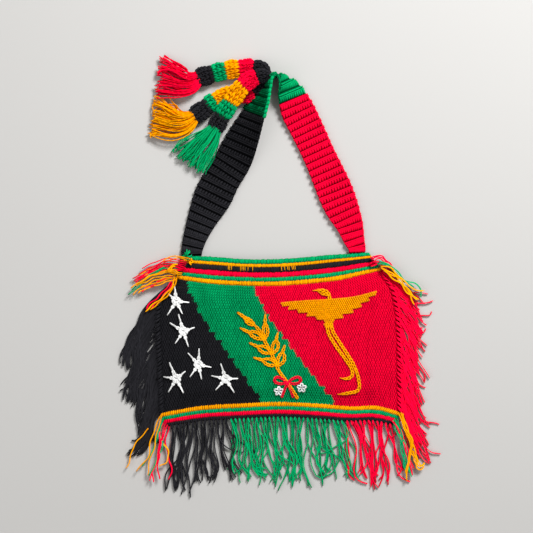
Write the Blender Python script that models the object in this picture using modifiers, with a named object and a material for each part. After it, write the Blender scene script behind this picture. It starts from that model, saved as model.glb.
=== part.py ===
"""A crocheted shoulder bag of the bilum kind, lying flat on its back.

Two crocheted panels make the bag. A striped band runs round its mouth and a striped border
closes its foot. Yarn fringes are knotted into the two sides and the foot, and the ends of the
border yarns hang from the four corners. The strap is worked in three lengths. Three crocheted
ties, each ending in a tassel, are drawn together in a black hub at the strap's top.

Units are metres, +Z is up, and the bag rests on the plane z = 0. +Y runs from the foot of the bag
towards the top of the strap. The origin is below the middle of the whole object.
"""

import math
from typing import NamedTuple

import bmesh
import bpy
import numpy as np
from mathutils import Matrix, Vector

SHEET = 0.0030  # thickness of one layer of crochet
GAP = 0.0003  # clearance between neighbouring pieces
JOINT = 0.0004  # the same, where two sheets meet edge to edge
POCKET = 0.0056  # how far the two panels stand apart inside the bag
STRAP_THICKNESS = 0.0040
STRAP_LIFT = 0.0002  # keeps the twisted strap's corners from reaching below the ground
BORDER_THICKNESS = 2 * SHEET + GAP
FRINGE_THICKNESS = 0.0050
END_THICKNESS = 0.0030
ROOT_DEPTH = 0.0040  # width of the strip of knots that a fringe's teeth hang from
ROOT_POINTS = 25
TOOTH_WIDTH = 0.62  # share of its space that a tooth fills at the root
TIP_WIDTH = 0.40
TOOTH_SAG = 0.06  # how far a tooth curves, as a share of its length
TOOTH_BEND = 0.45  # share of its length at which it curves the most
UNEVEN_ENDS = 0.04  # how much shorter one tooth is than the next, as a share of its length
EDGE_STEP = 0.01  # share of an edge over which its direction is read
SIDE_FALL = 0.13  # share of the width over which the front comes down to the back
FOOT_FALL = 0.16  # share of the height over which it does so at the foot
FOLD_HEIGHT = 0.0012  # rise of the soft upright folds in the front
FOLD_PACE = 19.0  # radians of the folds' wave across the front
FOLD_WANDER = 1.4  # how many of those radians a fold strays on its way up
WANDER_PACE = 3.0  # radians of that straying from the panel's foot to its top
COLUMNS = 30  # divisions across every sheet, so that edges that meet are alike
PANEL_ROWS = 14
BAND_ROWS = 3
BACK_BAND_ROWS = 2
STRAP_COLUMNS = 4
STRAP_STEPS = 22
STATION_STEP = 0.01  # share of a strap's length over which its direction is read
TUBE_STEP = 0.02  # the same, for a tube
SWEEP_SIDES = 16
PRONG_STEPS = 6
TIE_STEPS = 12
TASSEL_STEPS = 10
CLEARANCE = 0.0006  # how much larger than a neighbour its cutter is
CUTTERS = "clearances"
MODEL = "crocheted_bag"
WELD = 1e-6  # points closer than this are one point
YARN_ROUGHNESS = 0.9

YARN = {
    "black": (0.012, 0.012, 0.014),
    "green": (0.000, 0.260, 0.110),
    "red": (0.700, 0.004, 0.035),
    "yellow": (0.900, 0.330, 0.005),
}


class SideRow(NamedTuple):
    """The bag's two side edges at one share of the panel's height."""

    share: float
    left: float
    right: float


class LineRow(NamedTuple):
    """Heights of the four lines across the bag, at one share of its width."""

    share: float
    foot: float
    border: float
    panel_top: float
    mouth: float


class StrapRow(NamedTuple):
    """One station of the strap. Roll lifts the edge that faces into the loop."""

    x: float
    y: float
    width: float
    roll: float


class TubeRow(NamedTuple):
    """One station of a soft tube or tassel: its centre and half its width and height."""

    x: float
    y: float
    z: float
    half_width: float
    half_height: float


class TipRow(NamedTuple):
    """Where a fringe's strands end, at one share of its length."""

    share: float
    x: float
    y: float


class Fringe(NamedTuple):
    """A fringe: its yarn, how many teeth it has, the edge it hangs from, and its tips.

    The edge runs from start to end, which are shares of the width and height of a sheet.
    """

    colour: str
    teeth: int
    sheet: str
    start: tuple
    end: tuple
    tips: list


SIDES = [
    SideRow(0.00, -0.1495, 0.1625),
    SideRow(0.25, -0.1517, 0.1617),
    SideRow(0.50, -0.1534, 0.1612),
    SideRow(0.75, -0.1540, 0.1580),
    SideRow(0.88, -0.1495, 0.1520),
    SideRow(1.00, -0.1300, 0.1365),
]
LINES = [
    LineRow(0.00, -0.1960, -0.1790, -0.0050, 0.0250),
    LineRow(0.16, -0.1890, -0.1700, -0.0108, 0.0235),
    LineRow(0.33, -0.1862, -0.1665, -0.0135, 0.0204),
    LineRow(0.50, -0.1842, -0.1645, -0.0138, 0.0203),
    LineRow(0.67, -0.1866, -0.1670, -0.0104, 0.0230),
    LineRow(0.80, -0.1895, -0.1702, -0.0062, 0.0260),
    LineRow(0.90, -0.1890, -0.1696, 0.0000, 0.0272),
    LineRow(1.00, -0.1950, -0.1780, 0.0060, 0.0290),
]
MOUTH_ENDS = (-0.1230, 0.1200)  # x of the two ends of the mouth's upper edge
FOOT_ENDS = (-0.1430, 0.1550)  # x of the two ends of the border's lower edge

STRAP_LEFT = [
    StrapRow(-0.1092, 0.0256, 0.0250, 0),
    StrapRow(-0.1090, 0.0330, 0.0262, 0),
    StrapRow(-0.1047, 0.0494, 0.0295, 0),
    StrapRow(-0.0962, 0.0715, 0.0370, 0),
    StrapRow(-0.0871, 0.0910, 0.0450, 0),
    StrapRow(-0.0806, 0.1040, 0.0485, 0),
    StrapRow(-0.0702, 0.1248, 0.0470, 0),
    StrapRow(-0.0549, 0.1495, 0.0465, 4),
    StrapRow(-0.0442, 0.1729, 0.0450, 20),
    StrapRow(-0.0358, 0.1911, 0.0430, 34),
    StrapRow(-0.0280, 0.2080, 0.0400, 45),
]
STRAP_TOP = [
    StrapRow(-0.0280, 0.2080, 0.0400, 45),
    StrapRow(-0.0195, 0.2262, 0.0370, 56),
    StrapRow(-0.0124, 0.2405, 0.0330, 68),
    StrapRow(-0.0075, 0.2516, 0.0290, 80),
    StrapRow(-0.0005, 0.2580, 0.0270, 86),
    StrapRow(0.0070, 0.2542, 0.0290, 72),
    StrapRow(0.0135, 0.2457, 0.0320, 46),
    StrapRow(0.0180, 0.2366, 0.0350, 20),
    StrapRow(0.0215, 0.2282, 0.0370, 8),
]
STRAP_RIGHT = [
    StrapRow(0.0215, 0.2282, 0.0380, 8),
    StrapRow(0.0286, 0.2119, 0.0430, 2),
    StrapRow(0.0403, 0.1885, 0.0420, 0),
    StrapRow(0.0567, 0.1534, 0.0410, 0),
    StrapRow(0.0724, 0.1183, 0.0445, 0),
    StrapRow(0.0793, 0.1014, 0.0450, 0),
    StrapRow(0.0871, 0.0832, 0.0415, 0),
    StrapRow(0.0949, 0.0663, 0.0345, 0),
    StrapRow(0.1005, 0.0481, 0.0270, 0),
    StrapRow(0.1045, 0.0365, 0.0215, 0),
    StrapRow(0.1053, 0.0287, 0.0200, 0),
]
# shares of each length's start and end that are left open, so that the lengths stay apart
STRAP_LEFT_TRIM = (0.0, 0.002)
STRAP_TOP_TRIM = (0.003, 0.006)
STRAP_RIGHT_TRIM = (0.002, 0.0)

HUB_PRONGS = {
    "red": [
        TubeRow(-0.0100, 0.2560, 0.0140, 0.0070, 0.0080),
        TubeRow(-0.0190, 0.2655, 0.0095, 0.0105, 0.0090),
        TubeRow(-0.0290, 0.2678, 0.0085, 0.0115, 0.0082),
    ],
    "green": [
        TubeRow(-0.0110, 0.2550, 0.0210, 0.0070, 0.0080),
        TubeRow(-0.0180, 0.2550, 0.0255, 0.0100, 0.0080),
        TubeRow(-0.0250, 0.2536, 0.0265, 0.0105, 0.0075),
    ],
    "yellow": [
        TubeRow(-0.0130, 0.2540, 0.0180, 0.0070, 0.0080),
        TubeRow(-0.0210, 0.2450, 0.0130, 0.0085, 0.0075),
        TubeRow(-0.0285, 0.2362, 0.0100, 0.0095, 0.0070),
    ],
}
TIES = {
    "red": [
        TubeRow(-0.0293, 0.2678, 0.0085, 0.0118, 0.0080),
        TubeRow(-0.0390, 0.2674, 0.0082, 0.0122, 0.0080),
        TubeRow(-0.0572, 0.2659, 0.0080, 0.0123, 0.0078),
        TubeRow(-0.0741, 0.2626, 0.0080, 0.0120, 0.0078),
        TubeRow(-0.0910, 0.2578, 0.0080, 0.0124, 0.0078),
        TubeRow(-0.1015, 0.2547, 0.0080, 0.0122, 0.0076),
    ],
    "green": [
        TubeRow(-0.0253, 0.2535, 0.0265, 0.0105, 0.0075),
        TubeRow(-0.0364, 0.2478, 0.0265, 0.0118, 0.0074),
        TubeRow(-0.0507, 0.2327, 0.0245, 0.0118, 0.0074),
        TubeRow(-0.0625, 0.2150, 0.0185, 0.0115, 0.0072),
        TubeRow(-0.0735, 0.1982, 0.0110, 0.0115, 0.0072),
        TubeRow(-0.0792, 0.1890, 0.0080, 0.0115, 0.0072),
    ],
    "yellow": [
        TubeRow(-0.0288, 0.2359, 0.0099, 0.0095, 0.0068),
        TubeRow(-0.0400, 0.2330, 0.0080, 0.0110, 0.0068),
        TubeRow(-0.0572, 0.2334, 0.0075, 0.0115, 0.0070),
        TubeRow(-0.0728, 0.2288, 0.0075, 0.0115, 0.0070),
        TubeRow(-0.0845, 0.2217, 0.0075, 0.0118, 0.0070),
        TubeRow(-0.0975, 0.2119, 0.0075, 0.0120, 0.0072),
        TubeRow(-0.1068, 0.2042, 0.0078, 0.0120, 0.0072),
    ],
}
TASSELS = {
    "red": [
        TubeRow(-0.1022, 0.2545, 0.0082, 0.0115, 0.0072),
        TubeRow(-0.1110, 0.2515, 0.0090, 0.0165, 0.0085),
        TubeRow(-0.1240, 0.2530, 0.0090, 0.0215, 0.0086),
        TubeRow(-0.1370, 0.2560, 0.0080, 0.0240, 0.0078),
        TubeRow(-0.1480, 0.2570, 0.0060, 0.0200, 0.0058),
        TubeRow(-0.1540, 0.2550, 0.0045, 0.0120, 0.0040),
    ],
    "yellow": [
        TubeRow(-0.1076, 0.2036, 0.0080, 0.0118, 0.0070),
        TubeRow(-0.1190, 0.2010, 0.0085, 0.0205, 0.0080),
        TubeRow(-0.1330, 0.2015, 0.0080, 0.0262, 0.0076),
        TubeRow(-0.1470, 0.2045, 0.0065, 0.0240, 0.0062),
        TubeRow(-0.1570, 0.2065, 0.0050, 0.0190, 0.0046),
        TubeRow(-0.1620, 0.2050, 0.0040, 0.0110, 0.0036),
    ],
    "green": [
        TubeRow(-0.0798, 0.1882, 0.0082, 0.0110, 0.0070),
        TubeRow(-0.0860, 0.1785, 0.0090, 0.0165, 0.0082),
        TubeRow(-0.0940, 0.1680, 0.0090, 0.0215, 0.0084),
        TubeRow(-0.1030, 0.1580, 0.0080, 0.0225, 0.0076),
        TubeRow(-0.1105, 0.1505, 0.0060, 0.0190, 0.0056),
        TubeRow(-0.1140, 0.1450, 0.0045, 0.0120, 0.0040),
    ],
}

FRINGES = {
    "fringe_left": Fringe(
        "black",
        13,
        "panel",
        (0.0, 0.92),
        (0.0, 0.02),
        [
            TipRow(0.00, -0.1850, -0.0330),
            TipRow(0.25, -0.2067, -0.0860),
            TipRow(0.50, -0.2020, -0.1470),
            TipRow(0.75, -0.1810, -0.2020),
            TipRow(1.00, -0.1760, -0.2460),
        ],
    ),
    "fringe_right": Fringe(
        "red",
        13,
        "panel",
        (1.0, 0.93),
        (1.0, 0.03),
        [
            TipRow(0.00, 0.1885, -0.0380),
            TipRow(0.25, 0.2000, -0.0860),
            TipRow(0.50, 0.2005, -0.1330),
            TipRow(0.75, 0.2065, -0.2090),
            TipRow(1.00, 0.1910, -0.2500),
        ],
    ),
    "fringe_foot_black": Fringe(
        "black",
        7,
        "border",
        (0.02, 0.0),
        (0.27, 0.0),
        [
            TipRow(0.00, -0.1560, -0.2690),
            TipRow(0.50, -0.1080, -0.2760),
            TipRow(1.00, -0.0530, -0.2660),
        ],
    ),
    "fringe_foot_green": Fringe(
        "green",
        13,
        "border",
        (0.285, 0.0),
        (0.77, 0.0),
        [
            TipRow(0.00, -0.0480, -0.2680),
            TipRow(0.33, -0.0040, -0.2808),
            TipRow(0.66, 0.0500, -0.2770),
            TipRow(1.00, 0.0930, -0.2720),
        ],
    ),
    "fringe_foot_red": Fringe(
        "red",
        6,
        "border",
        (0.785, 0.0),
        (0.98, 0.0),
        [
            TipRow(0.00, 0.1040, -0.2720),
            TipRow(0.50, 0.1290, -0.2760),
            TipRow(1.00, 0.1560, -0.2700),
        ],
    ),
}
CORNER_ENDS = {
    "ends_top_left": Fringe(
        "yellow",
        4,
        "mouth",
        (0.0, 0.55),
        (0.0, 0.05),
        [
            TipRow(0.00, -0.1870, -0.0040),
            TipRow(0.60, -0.1900, -0.0200),
            TipRow(1.00, -0.1680, -0.0420),
        ],
    ),
    "ends_top_right": Fringe(
        "green",
        3,
        "mouth",
        (1.0, 0.45),
        (1.0, 0.05),
        [
            TipRow(0.00, 0.1890, -0.0180),
            TipRow(1.00, 0.1820, -0.0310),
        ],
    ),
    "ends_foot_left": Fringe(
        "yellow",
        4,
        "border",
        (0.0, 0.95),
        (0.0, 0.05),
        [
            TipRow(0.00, -0.1920, -0.2480),
            TipRow(1.00, -0.1580, -0.2660),
        ],
    ),
    "ends_foot_right": Fringe(
        "green",
        3,
        "border",
        (1.0, 0.05),
        (1.0, 0.95),
        [
            TipRow(0.00, 0.1690, -0.2640),
            TipRow(1.00, 0.1850, -0.2510),
        ],
    ),
}


def smooth(keys, values, at):
    """Reads a value at a key, on a smooth curve through all the values at their keys."""
    slopes = np.gradient(values, keys)
    cell = int(np.clip(np.searchsorted(keys, at) - 1, 0, len(keys) - 2))
    span = keys[cell + 1] - keys[cell]
    u = (at - keys[cell]) / span
    start = values[cell] * (1 + 2 * u) + span * slopes[cell] * u
    end = values[cell + 1] * (3 - 2 * u) - span * slopes[cell + 1] * (1 - u)
    return float(start * (1 - u) ** 2 + end * u**2)


def through(rows, share, name):
    """Reads one column of a table at a value of its share column."""
    keys = np.array([row.share for row in rows])
    return smooth(keys, np.array([getattr(row, name) for row in rows]), share)


def along(rows, share):
    """A row of the table's own type, read at a share of the way from its first row to its last."""
    keys = np.linspace(0, 1, len(rows))
    return type(rows[0])(*(smooth(keys, column, share) for column in np.array(rows).T))


def eased(value):
    """0 below 0 and 1 above 1, with a smooth run between."""
    u = min(max(value, 0.0), 1.0)
    return u * u * (3 - 2 * u)


def blend(start, end, share):
    """The value a share of the way from start to end."""
    return start + (end - start) * share


def panel_point(across, up):
    """Plan position on a panel, from shares of its width and height."""
    x = blend(through(SIDES, up, "left"), through(SIDES, up, "right"), across)
    y = blend(through(LINES, across, "border"), through(LINES, across, "panel_top"), up)
    return x, y


def mouth_point(across, up):
    """Plan position on the mouth band, which starts a clearance above the panel."""
    low_x = blend(SIDES[-1].left, SIDES[-1].right, across)
    x = blend(low_x, blend(*MOUTH_ENDS, across), up)
    low_y = through(LINES, across, "panel_top") + JOINT
    return x, blend(low_y, through(LINES, across, "mouth"), up)


def border_point(across, up):
    """Plan position on the foot border, which ends a clearance below the panel."""
    top_x = blend(SIDES[0].left, SIDES[0].right, across)
    x = blend(blend(*FOOT_ENDS, across), top_x, up)
    top_y = through(LINES, across, "border") - JOINT
    return x, blend(through(LINES, across, "foot"), top_y, up)


def side_rise(across):
    """Share of the pocket's height that the front has at this share of the width."""
    return eased(min(across, 1 - across) / SIDE_FALL)


def front_underside(across, up):
    """Height of the front panel's underside, with its soft upright folds."""
    rise = side_rise(across) * eased(up / FOOT_FALL)
    wave = across * FOLD_PACE + FOLD_WANDER * math.sin(up * WANDER_PACE)
    folds = 0.5 + 0.5 * math.sin(wave)
    return SHEET + GAP + POCKET * rise + FOLD_HEIGHT * folds * rise


def flat_underside(_across, _up):
    """Height of a sheet that lies on the ground."""
    return 0.0


def mouth_underside(across, _up):
    """Height of the front mouth band's underside, in line with the panel's upper edge."""
    return front_underside(across, 1.0)


def new_collection(name):
    """Makes a collection in the scene."""
    collection = bpy.data.collections.new(name)
    bpy.context.scene.collection.children.link(collection)
    return collection


def yarn_material(colour):
    """One yarn's material, made once."""
    name = f"{colour}_yarn"
    if name in bpy.data.materials:
        return bpy.data.materials[name]
    material = bpy.data.materials.new(name)
    material.use_nodes = True
    shader = material.node_tree.nodes["Principled BSDF"]
    shader.inputs["Base Color"].default_value = (*YARN[colour], 1.0)
    shader.inputs["Roughness"].default_value = YARN_ROUGHNESS
    shader.inputs["Metallic"].default_value = 0.0
    return material


def add_object(name, data, colour, collection=MODEL):
    """Makes an object from a mesh or a curve, with its yarn's material."""
    data.materials.append(yarn_material(colour))
    made = bpy.data.objects.new(name, data)
    bpy.data.collections[collection].objects.link(made)
    return made


def mesh_of(name, form):
    """Turns a bmesh into a mesh and frees it."""
    mesh = bpy.data.meshes.new(name)
    form.to_mesh(mesh)
    form.free()
    return mesh


def add_sheet(name, colour, plan, underside, rows, thickness=SHEET):
    """A sheet whose underside follows plan and underside, thickened straight upwards."""
    form = bmesh.new()
    bmesh.ops.create_grid(form, x_segments=COLUMNS, y_segments=rows, size=0.5)
    for vert in form.verts:
        across, up = vert.co.x + 0.5, vert.co.y + 0.5
        vert.co = (*plan(across, up), underside(across, up))
    grown = bmesh.ops.extrude_face_region(form, geom=form.faces[:], use_keep_orig=True)
    upper = [item for item in grown["geom"] if isinstance(item, bmesh.types.BMVert)]
    bmesh.ops.translate(form, verts=upper, vec=(0, 0, thickness))
    bmesh.ops.recalc_face_normals(form, faces=form.faces[:])
    return add_object(name, mesh_of(name, form), colour)


def strap_station(rows, share):
    """Centre, direction to the loop's edge, and width of the strap at a share of a length."""
    here = along(rows, share)
    behind = along(rows, max(share - STATION_STEP, 0))
    ahead = along(rows, min(share + STATION_STEP, 1))
    forward = Vector((ahead.x - behind.x, ahead.y - behind.y, 0)).normalized()
    inward = Vector((forward.y, -forward.x, 0))
    roll = math.radians(here.roll)
    edge = inward * math.cos(roll) + Vector((0, 0, math.sin(roll)))
    rest = here.width / 2 * math.sin(roll) + STRAP_THICKNESS / 2 * math.cos(roll) + STRAP_LIFT
    return Vector((here.x, here.y, rest)), edge, here.width


def add_strap(name, colour, rows, trim=(0.0, 0.0), collection=MODEL, grow=0.0):
    """One length of the strap: a band with its faces along its stations, trimmed at its ends."""
    form = bmesh.new()
    bmesh.ops.create_grid(form, x_segments=STRAP_COLUMNS, y_segments=STRAP_STEPS, size=0.5)
    for vert in form.verts:
        across, share = vert.co.x * 2, blend(trim[0], 1 - trim[1], vert.co.y + 0.5)
        centre, edge, width = strap_station(rows, share)
        vert.co = centre + edge * (across * (width / 2 + grow))
    made = add_object(name, mesh_of(name, form), colour, collection)
    solid = made.modifiers.new("thickness", "SOLIDIFY")
    solid.thickness = STRAP_THICKNESS + 2 * grow
    solid.offset = 0.0
    solid.use_even_offset = True
    return made


def tube_frame(rows, share, grow=0.0):
    """The matrix that puts a unit circle in the XY plane on a tube's station."""
    here = along(rows, share)
    behind = along(rows, max(share - TUBE_STEP, 0))
    ahead = along(rows, min(share + TUBE_STEP, 1))
    forward = Vector(ahead[:3]) - Vector(behind[:3])
    forward.normalize()
    side = Vector((0, 0, 1)).cross(forward).normalized()
    rise = forward.cross(side)
    turn = Matrix((side, rise, forward)).transposed().to_4x4()
    size = Matrix.Diagonal((here.half_width + grow, here.half_height + grow, 1, 1))
    lengthening = forward * (grow * (2 * share - 1))
    return Matrix.Translation(Vector(here[:3]) + lengthening) @ turn @ size


def add_sweep(name, colour, rows, steps, collection=MODEL, grow=0.0):
    """A soft tube of oval section through its stations, closed at both ends."""
    form = bmesh.new()
    bmesh.ops.create_cone(
        form, cap_ends=True, segments=SWEEP_SIDES, radius1=1.0, radius2=1.0, depth=1.0
    )
    upright = [edge for edge in form.edges if abs(edge.verts[0].co.z - edge.verts[1].co.z) > 0.5]
    bmesh.ops.subdivide_edges(form, edges=upright, cuts=steps - 1, use_grid_fill=True)
    for vert in form.verts:
        frame = tube_frame(rows, vert.co.z + 0.5, grow)
        vert.co = frame @ Vector((vert.co.x, vert.co.y, 0))
    return add_object(name, mesh_of(name, form), colour, collection)


def fringe_tip(fringe, share):
    """Where a tooth at a share of a fringe ends."""
    return Vector((through(fringe.tips, share, "x"), through(fringe.tips, share, "y")))


def fringe_root(fringe, share, out=0.0):
    """A point of the cloth edge that a fringe hangs from, and a distance out from it."""
    plan = {"panel": panel_point, "mouth": mouth_point, "border": border_point}[fringe.sheet]

    def edge(at):
        ends = zip(fringe.start, fringe.end, strict=True)
        return Vector(plan(*(blend(near, far, at) for near, far in ends)))

    run = (edge(share + EDGE_STEP) - edge(share - EDGE_STEP)).normalized()
    outward = Vector((run.y, -run.x))
    if outward.dot(fringe_tip(fringe, 0.5) - edge(0.5)) < 0:
        outward.negate()
    return edge(share) + outward * out


def comb_outline(fringe):
    """The plan of a fringe: curved teeth on a root strip along the edge of the cloth."""
    half = 0.5 / fringe.teeth
    strip = JOINT + ROOT_DEPTH
    points = [fringe_root(fringe, share, JOINT) for share in np.linspace(1, 0, ROOT_POINTS)]
    for i in range(fringe.teeth):
        middle = (i + 0.5) / fringe.teeth
        sides = []
        for k in (-1, 1):
            root = fringe_root(fringe, middle + half * TOOTH_WIDTH * k, strip)
            tip = fringe_tip(fringe, middle + half * TIP_WIDTH * k)
            fall = tip - root
            sag = Vector((fall.y, -fall.x)) * (TOOTH_SAG if fall.x < 0 else -TOOTH_SAG)
            uneven = fall * (UNEVEN_ENDS * (i % 3))
            sides.append([root, root + fall * TOOTH_BEND + sag, tip - uneven])
        if i:
            points.append(fringe_root(fringe, i / fringe.teeth, strip))
        points += sides[0]
        points += reversed(sides[1])
    return points


def add_comb(name, fringe, bottom, thickness):
    """A fringe as one comb, lying at a height."""
    curve = bpy.data.curves.new(name, "CURVE")
    curve.dimensions = "2D"
    curve.fill_mode = "BOTH"
    curve.extrude = thickness / 2
    spline = curve.splines.new("POLY")
    shape = comb_outline(fringe)
    spline.points.add(len(shape) - 1)
    for point, place in zip(spline.points, shape, strict=True):
        point.co = (place.x, place.y, 0, 1)
    spline.use_cyclic_u = True
    made = add_object(name, curve, fringe.colour)
    made.location.z = bottom + thickness / 2
    return made


def as_mesh(obj):
    """Replaces a curve object by the mesh it evaluates to, with its caps welded."""
    bpy.context.view_layer.update()
    graph = bpy.context.evaluated_depsgraph_get()
    mesh = bpy.data.meshes.new_from_object(obj.evaluated_get(graph))
    name, world, homes = obj.name, obj.matrix_world.copy(), obj.users_collection
    bpy.data.objects.remove(obj)
    made = bpy.data.objects.new(name, mesh)
    made.matrix_world = world
    for home in homes:
        home.objects.link(made)
    form = bmesh.new()
    form.from_mesh(mesh)
    bmesh.ops.remove_doubles(form, verts=form.verts[:], dist=WELD)
    form.to_mesh(mesh)
    form.free()
    return made


def add_boolean(obj, other, operation):
    """Adds a Boolean modifier that joins or cuts with another mesh object."""
    boolean = obj.modifiers.new(f"{operation.lower()}_{other.name}", "BOOLEAN")
    boolean.operation = operation
    boolean.solver = "EXACT"
    boolean.object = other


def as_cutter(obj):
    """Marks an object as a helper that isn't part of the bag."""
    obj.hide_render = True
    obj.display_type = "WIRE"
    return obj


def clear_of_tubes(obj, tubes):
    """Cuts an object back so that it keeps the clearance to some tubes, given as (rows, steps)."""
    for i, (rows, steps) in enumerate(tubes):
        name = f"{obj.name}_clearance_{i}"
        grown = add_sweep(name, "black", rows, steps, CUTTERS, CLEARANCE)
        add_boolean(obj, as_cutter(grown), "DIFFERENCE")


def build_body():
    """The two panels, the mouth band's two sides and the foot border."""
    add_sheet("back_panel", "black", panel_point, flat_underside, PANEL_ROWS)
    add_sheet("front_panel", "green", panel_point, front_underside, PANEL_ROWS)
    add_sheet("mouth_band_back", "yellow", mouth_point, flat_underside, BACK_BAND_ROWS)
    add_sheet("mouth_band_front", "yellow", mouth_point, mouth_underside, BAND_ROWS)
    add_sheet("foot_border", "yellow", border_point, flat_underside, BAND_ROWS, BORDER_THICKNESS)


def build_strap():
    """The strap's black, green and red lengths, in line with each other."""
    add_strap("strap_left", "black", STRAP_LEFT, STRAP_LEFT_TRIM)
    add_strap("strap_top", "green", STRAP_TOP, STRAP_TOP_TRIM)
    add_strap("strap_right", "red", STRAP_RIGHT, STRAP_RIGHT_TRIM)


def strap_cutter(name):
    """The strap's upper end, grown by the clearance."""
    return as_cutter(add_strap(name, "green", STRAP_TOP, collection=CUTTERS, grow=CLEARANCE))


def build_ties():
    """The hub at the strap's top, and the three ties with their tassels."""
    hub = add_sweep("tie_hub", "black", HUB_PRONGS["green"], PRONG_STEPS)
    for colour in ("red", "yellow"):
        rows = HUB_PRONGS[colour]
        prong = add_sweep(f"hub_prong_{colour}", "black", rows, PRONG_STEPS, CUTTERS)
        add_boolean(hub, as_cutter(prong), "UNION")
    add_boolean(hub, strap_cutter("hub_clear_of_strap"), "DIFFERENCE")
    for colour in TIES:
        tie = add_sweep(f"tie_{colour}", "black", TIES[colour], TIE_STEPS)
        clear_of_tubes(tie, [(HUB_PRONGS[colour], PRONG_STEPS)])
        tassel = add_sweep(f"tassel_{colour}", colour, TASSELS[colour], TASSEL_STEPS)
        clear_of_tubes(tassel, [(TIES[colour], TIE_STEPS)])
    tie = bpy.data.objects["tie_yellow"]
    add_boolean(tie, strap_cutter("tie_clear_of_strap"), "DIFFERENCE")


def build_fringes():
    """The fringes, and the loose ends of the border yarns that lie over them."""
    for name, fringe in FRINGES.items():
        as_mesh(add_comb(name, fringe, 0.0, FRINGE_THICKNESS))
    for name, fringe in CORNER_ENDS.items():
        as_mesh(add_comb(name, fringe, FRINGE_THICKNESS + GAP, END_THICKNESS))


def main():
    """Clears the scene and builds the bag."""
    for obj in list(bpy.data.objects):
        bpy.data.objects.remove(obj)
    new_collection(MODEL)
    new_collection(CUTTERS)
    build_body()
    build_strap()
    build_ties()
    build_fringes()


main()
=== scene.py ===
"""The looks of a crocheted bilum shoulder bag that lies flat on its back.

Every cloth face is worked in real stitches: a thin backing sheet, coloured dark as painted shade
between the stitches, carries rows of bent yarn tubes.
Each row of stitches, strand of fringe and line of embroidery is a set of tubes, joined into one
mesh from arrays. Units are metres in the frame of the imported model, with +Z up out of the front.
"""

import logging
import math
from collections.abc import Callable, Sequence
from dataclasses import dataclass
from enum import Enum

import bmesh
import bpy
import numpy as np
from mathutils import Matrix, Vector
from numpy.random import Generator, default_rng


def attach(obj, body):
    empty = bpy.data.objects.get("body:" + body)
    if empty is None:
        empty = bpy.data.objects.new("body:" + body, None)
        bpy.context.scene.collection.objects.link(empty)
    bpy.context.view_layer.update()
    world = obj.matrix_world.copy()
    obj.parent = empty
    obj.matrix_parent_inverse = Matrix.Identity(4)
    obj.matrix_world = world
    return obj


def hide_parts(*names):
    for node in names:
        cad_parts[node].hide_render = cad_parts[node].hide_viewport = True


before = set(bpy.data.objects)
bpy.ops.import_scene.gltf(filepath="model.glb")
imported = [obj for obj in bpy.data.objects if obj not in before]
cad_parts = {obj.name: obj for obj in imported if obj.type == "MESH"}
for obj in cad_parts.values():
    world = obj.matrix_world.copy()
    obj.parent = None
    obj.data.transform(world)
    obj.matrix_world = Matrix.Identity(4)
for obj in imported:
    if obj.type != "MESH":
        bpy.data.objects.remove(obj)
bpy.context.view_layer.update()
LOG = logging.getLogger("bilum")
Array = np.ndarray
Piece = bpy.types.Object
Tree = bpy.types.NodeTree
Socket = bpy.types.NodeSocket
Outputs = bpy.types.NodeOutputs
Pair = tuple[float, float]
Tones = Callable[[Array, Array], Array]  # colours for shares across and along a cloth
UP = np.array((0.0, 0.0, 1.0))

# Thicknesses and heights of the cloth.
LAYER = 0.003  # one layer of crochet, backing and stitches together
BACKING = 0.0013
SEAT = 0.0003  # clearance between the two layers
POCKET = 0.0056  # how far the front layer stands off the back one
FOLD = 0.0012  # the front layer's broad waves
CREASE_RISE = 1.75  # how much higher the creases stand than they are listed
BORDER_TOP = 2 * LAYER + SEAT
STRAP_CORE = 0.0016
YARN_RADIUS = 0.0012  # a loose strand of the yarn that the whole bag is worked in
TWIST_LENGTH = 6.0  # one turn of a yarn's twist, in its own radii
PRESSED = 0.0001  # the lowest that yarn lies
SUNK = 0.0004  # how far embroidery sinks into the stitches
CLEAR = 0.0002  # from the ground to a loose strand

# Shares of the panel over which the pocket closes, at its sides and at its foot.
SIDE_FALL = 0.13
FOOT_FALL = 0.16

# Stitches to a row, on the panel and on the bands.
COLUMNS = 96
BAND_COLUMNS = 128

MM = 0.001  # some routes are listed in millimetres


class Yarn(Enum):
    """The yarns that the bag is worked in."""

    BLACK = "black_yarn"
    GREEN = "green_yarn"
    RED = "red_yarn"
    YELLOW = "yellow_yarn"
    WHITE = "white_yarn"


K, G, R, Y, W = Yarn


class Zone(Enum):
    """The parts of the bag's body, each by its lower and its upper line in plan."""

    PANEL = "border top"
    MOUTH = "top mouth"
    BORDER = "foot border"


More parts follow.
